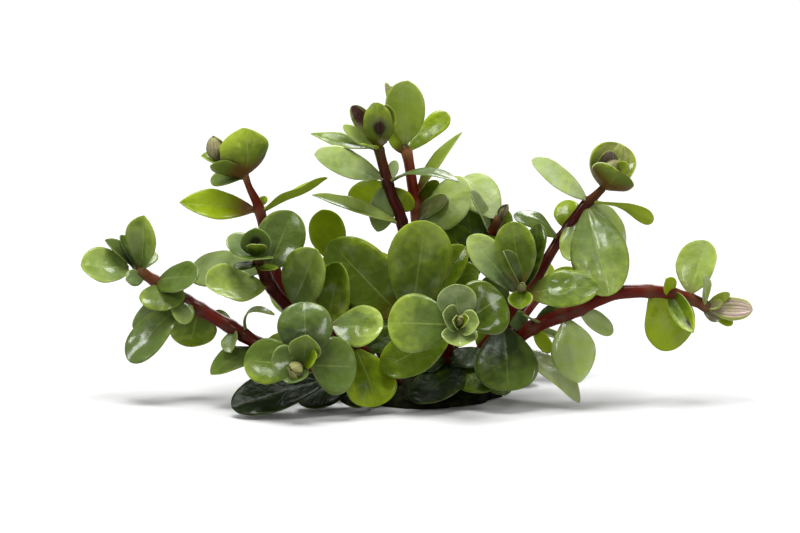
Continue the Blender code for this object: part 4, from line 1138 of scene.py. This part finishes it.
grow("right", (15, 6, -2, 1.3), (20, 12, -2.5, 1.35), (26, 17.6, -4, 1.4), (34.4, 21.2, -6.5, 1.5),
    (39.8, 23.8, -7, 1.5), (44.2, 25, -6.5, 1.4), (52.4, 25, -5, 1.25), (59, 23.2, -3, 1.15),
    (62.2, 21.4, -3, 1))
large("upright", (57.6, 23.8, -3), (61.3, 35.6, -0.5), 9.8, (-0.45, 0.1, 0.9), 0.9, fold=0.3,
    widest=0.5, lift=0.2, blush=0.3, bloom=0.6, rim=0.2)
large("under", (49.2, 25.2, -4.6), (56.8, 14.4, -0.6), 12.4, (0.1, 0.3, 0.95), 1.3, cup=0.5, widest=0.5,
    lift=-0.1)
large("hanging", (32.6, 20.6, -7), (35.8, 6.6, -13), 9.4, (-0.3, 0.3, 0.9), 1, arch=0.05, fold=-0.25,
    widest=0.5, point=0.5, bloom=0.9)
large("arched", (22.2, 14, -2.8), (36.2, 2.6, -9), 8, (0.4, 0.7, 0.5), 0.85, arch=0.12, point=0.4,
    lift=0.6, bloom=1, flush=0.15)
small((54.8, 24.6, -4.6), (53, 27.8, -8.4), 3.6, (0.6, -0.2, 0.7), 1.4, full=0.8, point=0.6)
small((54.6, 24.8, -4.6), (58.4, 16.8, -13), 5, (-0.2, 0.2, 0.95), 0.6, fold=0.4, full=1.2, point=0.3,
    blot=(0.8, 0, 0.1), lift=0.6, rim=0.5)
small((60.8, 22, -3.2), (60.6, 28.6, -7.6), 4, (0.9, 0, 0.5), 1.6, fold=0.5, widest=0.4, point=0.4,
    bloom=1)
small((61.6, 21.4, -3), (70.6, 21.4, -5), 5.2, (0, 0.35, 0.95), 0.85, cup=0.4, pleat=0.14, flush=1,
    rim=1.6)
small((61.8, 21.4, -3), (66.6, 18.4, -3.4), 2.6, (0, 0.6, 0.8), 1.4, widest=0.7)
small((36, 21.6, -6.6), (42.8, 16.8, -4), 5, (0, 0.6, 0.8), 1.5, bloom=1)
small((28.6, 18.6, -5), (24.8, 20.6, -9.4), 3.2, (0, 0.9, 0.5), 0.6, bloom=0.9)
small((17.6, 9.4, -2.2), (21.2, 4.4, -8.5), 5.6, (0.2, 0.7, 0.6), 0.4)
small((61.8, 21.6, -3), (66, 24.8, -3.4), 2.2, (0, 0, 1), 0.95, flush=0.2)
small((27.6, 18.2, -4), (30.2, 12.8, -3), 3.4, (0.3, 0.3, 0.9), 1.05)
small((20.6, 12.8, -2.6), (17.2, 18.8, -1), 7.6, (0.2, 0.4, 0.9), 0.4)
small((26.4, 18, -4), (22.2, 20.8, -3), 4.4, (0, 0.5, 0.85), 0.15, bloom=0.5)
small((62, 21.4, -3), (64.4, 22.8, -4.8), 2.4, (0.2, 0.3, 0.9), 0.8, full=1, flush=0.5)
small((61.8, 21.2, -3), (63.8, 19.2, -4.6), 2.8, (0, 0.3, 0.9), 0.5, full=1, flush=0.6)
small((27.6, 18.4, -4.6), (32.6, 22.4, -6.4), 3.8, (0, 0.4, 0.9), 0.2, bloom=0.4)

grow("upper_right", (12, 6, 3, 1.25), (18, 13, 2, 1.2), (23, 20.4, 0.5, 1.15), (26, 25, 0, 1.1),
    (30.4, 33.2, 0, 1.05), (36.2, 41.4, 1, 1.05), (38.8, 44, 1, 0.9), (41, 46.2, 1, 0.65))
large("left", (37.8, 43, 1), (26, 51.6, -1), 6.6, (0.4, 0.6, 0.7), 1.1, arch=0.04, widest=0.45,
    bloom=1.2, rim=0.3)
large("twisted", (38, 43.2, 0.6), (51, 39.2, -1), 4, (0.2, 1, 0.1), 1.6, arch=0.07, twist=70,
    widest=0.8)
large("hanging", (37.4, 42.4, 0.4), (41.8, 23.8, -12), 11.8, (-0.15, 0.35, 0.95), 0.6, arch=0.1,
    fold=-0.3, pleat=0.07, lift=0.4, bloom=0.5)
large("inner", (32.2, 35.6, 0.2), (22.4, 40.2, -4), 6.4, (0.3, 0.75, 0.6), 0.4, arch=0.16, fold=-0.2,
    widest=0.42, lift=-0.3, bloom=0.4)
small((40.8, 46, 1), (44.2, 54.9, 3), 10.8, (-0.1, 0, 1), 0.65, cup=0.9, widest=0.58, full=0.8,
    lift=0.5, flush=0.3, rim=1.7)
small((40.8, 46, 1), (43.8, 49.2, -5), 10.6, (0.35, 0.75, -0.6), 0.4, arch=-0.12, cup=0.9, full=1.2,
    lift=0.4, blush=2.2, rim=1.2)
small((40.9, 46, 1), (42, 53.4, -0.6), 4.8, (0.2, 0, 1), 0.45, cup=0.6, pleat=0.12, flush=0.9)
small((40.9, 46, 1), (45.4, 51, -2), 3.6, (0, 0.2, 1), 1, cup=0.6, blot=(0.6, 0, 0.12), flush=0.1)
small((38.1, 43.2, 1.2), (45.4, 33.6, 8), 6, (0.8, 0.2, 0.4), 1.4, arch=0.12, bloom=0.8)
small((33.6, 38, 0.6), (33.6, 43.6, 5), 5.6, (-0.2, -0.2, 1), 0.8)
small((35.4, 40, 0.4), (33.8, 31, -6), 5, (0, 0.3, 0.9), 0.72, bloom=0.5)
bud((42.2, 49.6, 0.2), (2.2, 2, 2.4))

tell(3)

# %% [markdown]
# Two tall, dark stems stand in the middle, and a lower one leans to the right of them. The young
# leaves round the bud at the top have dark blots.

# %% The shoots in the middle
grow("top_front", (2.5, 6, 2.5, 1.3), (3.4, 16, 2.5, 1.25), (0.6, 37.8, 2, 1.15), (-1.6, 44.2, 2, 1.1),
    (-3, 48.8, 2, 1.05), (-4.4, 54.4, 2, 1))
large("left", (-2.9, 47.4, 1.6), (-17.4, 52.6, -3.5), 7.8, (0.1, 0.65, 0.8), 0.75, arch=0.02, fold=0.1,
    point=0.2, lean=0.3, bloom=0.9, rim=0.3)
large("right", (-2.7, 47.2, 1.6), (12, 47, -4), 6.4, (0, 1, 0.25), 0.4, arch=0.14, widest=0.6,
    point=0.5, lift=0, bloom=0.6)
large("long", (0.3, 38.6, 1.6), (-18, 44.6, -1), 5.4, (0.1, 0.8, 0.6), 0.85, fold=0.3, point=0.8,
    lift=-0.2, lean=0.4, bloom=0.5)
small((-4.2, 54, 2), (-18.2, 56.8, 3), 4.8, (0, 0.8, 0.6), 0.6, arch=-0.05, fold=0.2, point=0.8,
    bloom=0.4, rim=0.2)
small((-4.4, 54.2, 2), (-9.8, 62.4, 2.6), 4.8, (0.6, 0, 0.8), 0.55, cup=0.6, blot=(0.85, 0, 0.3),
    lift=0.1, flush=0.3, rim=0.3)
small((-4.3, 54, 2), (-7.8, 54.6, -3), 3.2, (0.1, 1, 0.2), 1.2, cup=0.5, point=0.5)
small((-4.4, 54.2, 2), (-4.6, 63, -0.6), 6.6, (0, 0, -1), 0.55, arch=-0.16, cup=0.9, widest=0.6,
    full=0.9, blot=(0.5, -0.1, 0.16), blush=0.6)
small((-4.4, 54.2, 2), (-2.6, 62.6, 3.4), 6, (-0.2, 0, 1), 0.6, arch=-0.16, cup=0.9,
    blot=(0.4, 0, 0.12), flush=0.2)
small((-2.6, 47.4, 2.4), (-10.4, 42.8, 6), 5.8, (0, -0.2, 1), 1.5)
small((-2.7, 47.4, 1.6), (-4.6, 36.8, 4.6), 5.6, (-0.2, 0.1, 0.95), 0.65, point=0.4, bloom=0.9, rim=0.8)
small((-2.4, 46.8, 2.2), (2.6, 41.4, 5.4), 4, (-0.2, 0.2, 1), 0.85, blush=0.8)
small((-4.3, 54, 2), (-11.6, 58.4, 2.6), 3.2, (0.1, 0.6, 0.8), 1.3, bloom=0.6)
small((-2, 48.2, 3), (-0.8, 51.4, 4), 2.4, (0.1, 0.2, 0.9), 1.5, bloom=1)
bud((-4.4, 58.6, 1.6), (2.8, 2.6, 4.2))

grow("top_back", (5, 6, 6, 1.3), (6, 20, 8, 1.2), (3.4, 40, 9.5, 1.15), (2.4, 47, 9.5, 1.1),
    (1.6, 52, 9, 1.05), (1.1, 54, 8.8, 0.95))
large("upright", (1.1, 54, 8.8), (1.6, 67.6, 5.6), 9.2, (-0.3, 0.05, 0.95), 1.45, fold=0.2, widest=0.58,
    pleat=0.08, lift=0, lean=0.2, bloom=0.35)
large("low", (3.5, 39.4, 9), (14.4, 45.4, 0), 11.2, (-0.1, 0.4, 0.9), 0.85, arch=0.08, fold=-0.3,
    bloom=0.8)
small((1.4, 53.2, 9), (9.8, 61.2, 13), 4.8, (-0.3, 0.2, 0.9), 0.7, widest=0.75, lift=0.2)
small((1.1, 53.8, 8.8), (-3, 67.4, 12), 2.8, (0.3, 0, 0.9), 0.9, fold=0.5, blush=0.5, flush=0.6)
small((2.8, 44, 9.5), (12.6, 57.4, 9), 5, (-0.6, 0.4, 0.6), 1.35, fold=0.5, point=1, lift=0.9, blush=1,
    bloom=0.4)
small((0.5, 56.4, 8.8), (-1.8, 66.6, 10.6), 2.6, (0.3, 0, 0.9), 0.5, flush=0.4)
small((3.4, 40, 8.8), (9.8, 43.6, 2), 5, (-0.2, 0.5, 0.8), 0.3, arch=0.1, flush=0.3, rim=0.5)
small((1.2, 52.8, 8.8), (-2.2, 57.8, 8), 3.6, (0.2, 0.2, 0.9), 0.7, blush=1.4)
small((2.8, 42.4, 9.6), (7.8, 47.4, 9.2), 3.6, (-0.2, 0.2, 0.9), 0.6, blush=1.6)

grow("top_right", (9, 6, 5.5, 1.25), (12, 20, 7, 1.2), (16, 32, 6, 1.1), (19, 38, 4, 1),
    (20.2, 40.4, 3, 0.9))
small((19.8, 39.6, 3.4), (12.8, 48.4, 9), 8.2, (-0.1, 0.5, 0.8), 1.1, arch=0.06, bloom=1.2)
# painted light: this folded leaf lies in shade, and its high tone and painted sheen make it lighter
small((18.2, 36.4, 4.6), (13.8, 45.6, 1.4), 4.6, (0.7, 0.3, 0.6), 2, fold=0.5, bloom=1.4, rim=0.5)
small((15.6, 31, 6), (8.6, 37.8, 5), 7.2, (0.1, 0.2, 0.95), 0.48, lift=0.3)
small((15, 29.6, 6.2), (19, 37, 7.4), 6, (-0.1, 0.2, 0.95), 0.15)
small((20, 40, 3.2), (21.6, 42.6, 2), 2.6, (0, 0.2, 1), 0.4, fold=0.5, flush=0.9)
small((18.4, 37, 4.4), (21, 34.6, -1.5), 5.4, (0.3, 0.7, 0.6), 0.3)
small((15.6, 31, 6), (13.2, 42.8, 8), 8.4, (0, 0.2, 0.95), 0.42)
small((17.2, 34, 5.4), (21.6, 41.8, 6.6), 6, (0, 0.2, 0.95), 0.45)
bud((20.4, 41, 2.8), (1.1, 1.1, 1.4))

tell(3)

# %% [markdown]
# Four shoots fill the side that the front view does not show, because a clump grows to all sides.
# All of their leaves are one with their stem, so they are written down as young ones.

# %% The shoots at the back
grow("back_left", (-0.5, 7.6, 7.4, 1.2), (-5, 15, 12, 1.15), (-10, 25, 13, 1.05),
    (-13.4, 31.4, 11.5, 0.9))
small((-13.2, 31, 11.6), (-15.8, 41.8, 8), 7.6, (0.1, -0.1, 1), 0.85)
small((-13, 31, 11.8), (-21, 33.4, 19), 7.6, (-0.2, 0.9, -0.4), 0.65)
small((-9.6, 24.4, 13), (-14, 27, 25), 8.4, (-0.1, 0.8, -0.6), 0.6, arch=0.08)
small((-9.4, 24, 12.8), (-1.5, 30, 17), 7.6, (0.3, 0.7, -0.4), 0.5, arch=0.05)
small((-13.2, 31, 11.8), (-12, 35.6, 15), 5, (0, 0.2, -1), 0.75, cup=0.7)
bud((-13.6, 32, 11.6), (1.2, 1.2, 1.6))

grow("back_low_left", (-4, 7.6, 8.6, 1.2), (-10, 10.6, 16, 1.2), (-16, 14.6, 25, 1.1),
    (-19.6, 18.6, 31, 0.9))
small((-19.4, 18.4, 30.6), (-27, 26, 34), 9, (0.2, 0.8, -0.5), 0.65, cup=0.4)
small((-19.4, 18.4, 30.6), (-12.6, 25.4, 36), 9, (-0.2, 0.7, -0.6), 0.55, cup=0.4)
small((-19.6, 18.6, 31), (-21.6, 24.6, 38), 5.6, (0, 0.4, -0.9), 0.8, cup=0.8)
small((-15.6, 14.4, 24.6), (-28, 14.2, 25), 8.6, (0, 0.9, -0.3), 0.7, arch=0.1)
small((-15.6, 14.2, 24.6), (-6, 14.4, 31), 8.6, (0, 0.9, -0.4), 0.45, arch=0.1)
small((-10.2, 9, 16.2), (-22.4, 8.6, 15), 7.6, (0, 0.95, -0.2), 0.3, arch=0.06)
bud((-19.9, 19.2, 32), (1.3, 1.5, 1.3))

grow("back_centre", (4.8, 7.8, 9.2, 1.25), (5, 13, 19, 1.2), (5.6, 22, 27, 1.05), (6, 27.4, 31, 0.9))
small((6, 27, 30.6), (-2.4, 34, 33), 9.2, (0.2, 0.7, -0.7), 0.6, cup=0.35)
small((6, 27, 30.6), (14.4, 34, 33), 9.2, (-0.2, 0.7, -0.7), 0.7, cup=0.35)
small((6, 27.4, 31), (5.6, 34.6, 38), 6, (0, 0.4, -0.9), 0.8, cup=0.8)
small((5.3, 18, 23.6), (-5.6, 18, 24), 8.6, (0, 0.9, -0.4), 0.45, arch=0.1)
small((5.3, 18, 23.6), (16, 18.4, 29), 8.6, (0, 0.9, -0.4), 0.5, arch=0.1)
small((5, 12, 17.6), (5, 9.8, 30), 8.6, (0.1, 0.9, -0.2), 0.3, arch=0.12)
small((6, 27.4, 31), (8.4, 33.4, 29.6), 5, (0, 0.4, 0.9), 0.75)
bud((6.1, 28.2, 31.8), (1.3, 1.3, 1.6))

grow("back_right", (11, 7.8, 8.6, 1.25), (17, 11, 16, 1.2), (24, 19, 21, 1.05), (28, 24, 24, 0.9))
small((27.8, 23.8, 23.8), (21, 33, 25), 9, (0.3, 0.5, -0.8), 0.6, cup=0.35)
small((27.8, 23.8, 23.8), (37, 29, 24), 9, (-0.3, 0.7, -0.7), 0.85, cup=0.35)
small((28, 24, 24), (30.4, 31, 29), 5.8, (0, 0.3, -0.9), 0.75, cup=0.8)
small((22.6, 17.4, 20), (35, 14.6, 19), 8.6, (0, 0.95, -0.2), 0.6, arch=0.1)
small((22.6, 17.4, 20), (19, 20, 33), 8.6, (0, 0.9, -0.4), 0.5, arch=0.1)
small((16.6, 10.6, 15.4), (28, 8.4, 15), 7.6, (0, 0.95, -0.2), 0.3, arch=0.08)
bud((28.2, 24.8, 24.6), (1.3, 1.3, 1.6))

tell(4)

# %% [markdown]
# A leaf begins inside its stem, so its stalk grows out of the rind. Where the solid leaf keeps a
# small gap to the stem, the fine one starts closer to the stem's middle. It ends just inside the
# solid's tip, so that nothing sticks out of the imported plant.

# %% Where a leaf starts
GAP = 0.3
SOLID_LEAF_THICKNESS = 0.45
STEEP_SHARE = 0.45
START_SHARE = 0.15
START_STEP = 0.1
STEM_END_REACH = 0.2
STALK_START = 0.45
TIP_SHARE = 0.97


def young_start(leaf, route, number):
    """A start near the stem's middle, a little lower for each leaf, so that no two are one."""
    centre, radius, along = nearest_on(route, place(leaf.base))
    centre = centre - along * (START_STEP * (number + 1) * MM)
    return centre + (place(leaf.tip) - centre).normalized() * (START_SHARE * radius)


def large_start(leaf, route):
    """A start on the line from the stem's middle to where the solid leaf starts."""
    centre, radius, along = nearest_on(route, place(leaf.base))
    outward = place(leaf.tip) - centre
    reach = radius + (GAP + SOLID_LEAF_THICKNESS) * MM
    sideways = outward - along * outward.dot(along)
    share = sideways.length / outward.length
    if (centre - route[-1][0]).length < STEM_END_REACH * MM:
        share = 1.0
    if share < STEEP_SHARE:
        solid_start = centre + sideways.normalized() * reach
    else:
        solid_start = centre + outward.normalized() * (reach / share)
    return centre.lerp(solid_start, STALK_START)


def grow_leaf(work, layers, leaf, start, cells):
    tip = start.lerp(place(leaf.tip), TIP_SHARE)
    lay_leaf(work, layers, leaf, start, tip, direction(leaf.face), cells)


print("stalks start at", STALK_START, "of the way from the stem's middle to the solid leaf")

# %% [markdown]
# Each shoot becomes a stem, one piece with all of its young leaves and buds, and a piece for each
# large leaf. The stems differ in redness: the two tall middle ones are nearly black-red, and the
# long arched ones at the sides are lighter towards their tips. The two numbers are the tone at the
# foot and at the tip.

# %% Dress every shoot
STEM_TONES = {
    "far_left": (0.15, 0.4), "right": (0.3, 0.45), "upper_left": (0.1, 0.55),
    "upper_right": (0.35, 0.2), "top_front": (0.05, 0.15), "top_back": (0.2, 0.7),
    "mid_left": (0.05, 0.2),
}
USUAL_TONES = (0.05, 0.35)
GREEN_TIP = 0.15

for shoot in SHOOTS:
    route = smooth_route(shoot.stem, RING_SPACING)
    joints = joint_distances(route, shoot.leaves + shoot.small)
    tones = STEM_TONES.get(shoot.name, USUAL_TONES)
    stem = stem_skin(shoot.name + "_stem", route, joints, tones, GREEN_TIP)
    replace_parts(stem, shoot.name + "_shoot")
    work, layers = start_leaves()
    for number, leaf in enumerate(shoot.small):
        grow_leaf(work, layers, leaf, young_start(leaf, route, number), SMALL_LEAF_CELLS)
    axis = (route[-1][0] - route[-3][0]).normalized()
    for middle, size in shoot.buds:
        lay_bud(work, layers, place(middle), axis, size)
    finish_leaves(shoot.name + "_young_leaves", work)
    for leaf in shoot.leaves:
        work, layers = start_leaves()
        grow_leaf(work, layers, leaf, large_start(leaf, route), LEAF_CELLS)
        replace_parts(finish_leaves(leaf.name + "_blade", work), leaf.name)
print("shoots:", len(SHOOTS), "large leaves:", sum(len(shoot.leaves) for shoot in SHOOTS),
      "young leaves:", sum(len(shoot.small) for shoot in SHOOTS))

# %% [markdown]
# ## The crown
# The crown is a lumpy mound of joined stem bases, cut off flat on the ground. A ball of faces is
# squashed, made uneven with a few waves and a repeatable noise, and cut at the ground. The hole of
# the cut is filled with a face that has the cut's own material.

# %% The mound
CROWN_HALF_WIDTH = 15.0
CROWN_HALF_DEPTH = 11.0
CROWN_HEIGHT = 6.0
CROWN_WAVES = ((3, 0.07), (7, 0.04))
KNOT_SHARE = 0.06
KNOT_SCALES = (5.0, 13.0)
BALL_CELLS = (96, 48)
CUT_NEARNESS = 0.00001

work = bmesh.new()
bmesh.ops.create_uvsphere(work, u_segments=BALL_CELLS[0], v_segments=BALL_CELLS[1], radius=1.0)
for vertex in work.verts:
    angle = math.atan2(vertex.co.y, vertex.co.x)
    lump = 1.0 + sum(size * math.sin(number * angle) for number, size in CROWN_WAVES)
    broad, fine = [noise.noise(vertex.co * scale) for scale in KNOT_SCALES]
    knots = 1 + KNOT_SHARE * (broad + 0.5 * fine)
    vertex.co.x *= CROWN_HALF_WIDTH * lump * knots * MM
    vertex.co.y *= CROWN_HALF_DEPTH * lump * knots * MM
    vertex.co.z *= CROWN_HEIGHT * knots * MM
everything = work.verts[:] + work.edges[:] + work.faces[:]
bmesh.ops.bisect_plane(work, geom=everything, dist=CUT_NEARNESS, plane_co=(0, 0, 0),
                       plane_no=(0, 0, 1), clear_inner=True)
for face in work.faces:
    face.smooth = True
cut_edges = [edge for edge in work.edges if edge.is_boundary]
for face in bmesh.ops.holes_fill(work, edges=cut_edges)["faces"]:
    face.material_index = 1
bmesh.ops.recalc_face_normals(work, faces=work.faces)
mound = new_piece("crown_mound", work, [crown_rind, crown_cut])
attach(mound, "root")
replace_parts(mound, "crown")
print("crown faces:", len(mound.data.polygons))

# %% [markdown]
# A few stubs of older stems stand on the crown, with pale cut ends. They are short stems with one
# joint, and only the last face, the end, has the cut's material.

# %% The stubs
STUBS = [(-8.0, 2.4, 3.6), (16.0, 4.3, 3.6), (1.0, 10.0, 3.6)]
STUB_RADII = (1.4, 1.2)
STUB_STEPS = 8
STUB_JOINT = 0.6
STUB_TONES = (0.1, 0.2)
STUB_START_SHARE = 0.35
STUB_RISE = 2.5

for number, (right, deep, length) in enumerate(STUBS, start=1):
    foot = place((right, GROUND_UP, deep))
    foot.z = CROWN_HEIGHT * STUB_START_SHARE * MM
    outward = Vector((right - CROWN_RIGHT, deep - CROWN_DEEP, STUB_RISE)).normalized()
    route = []
    for step in range(STUB_STEPS + 1):
        share = step / STUB_STEPS
        radius = between(*STUB_RADII, share) * MM
        route.append((foot + outward * (length * share * MM), radius))
    stub = stem_skin("old_stem_" + str(number), route, [length * STUB_JOINT * MM], STUB_TONES, 0.0)
    stub.data.materials.append(crown_cut)
    stub.data.polygons[-1].material_index = 1
print("stubs:", len(STUBS))
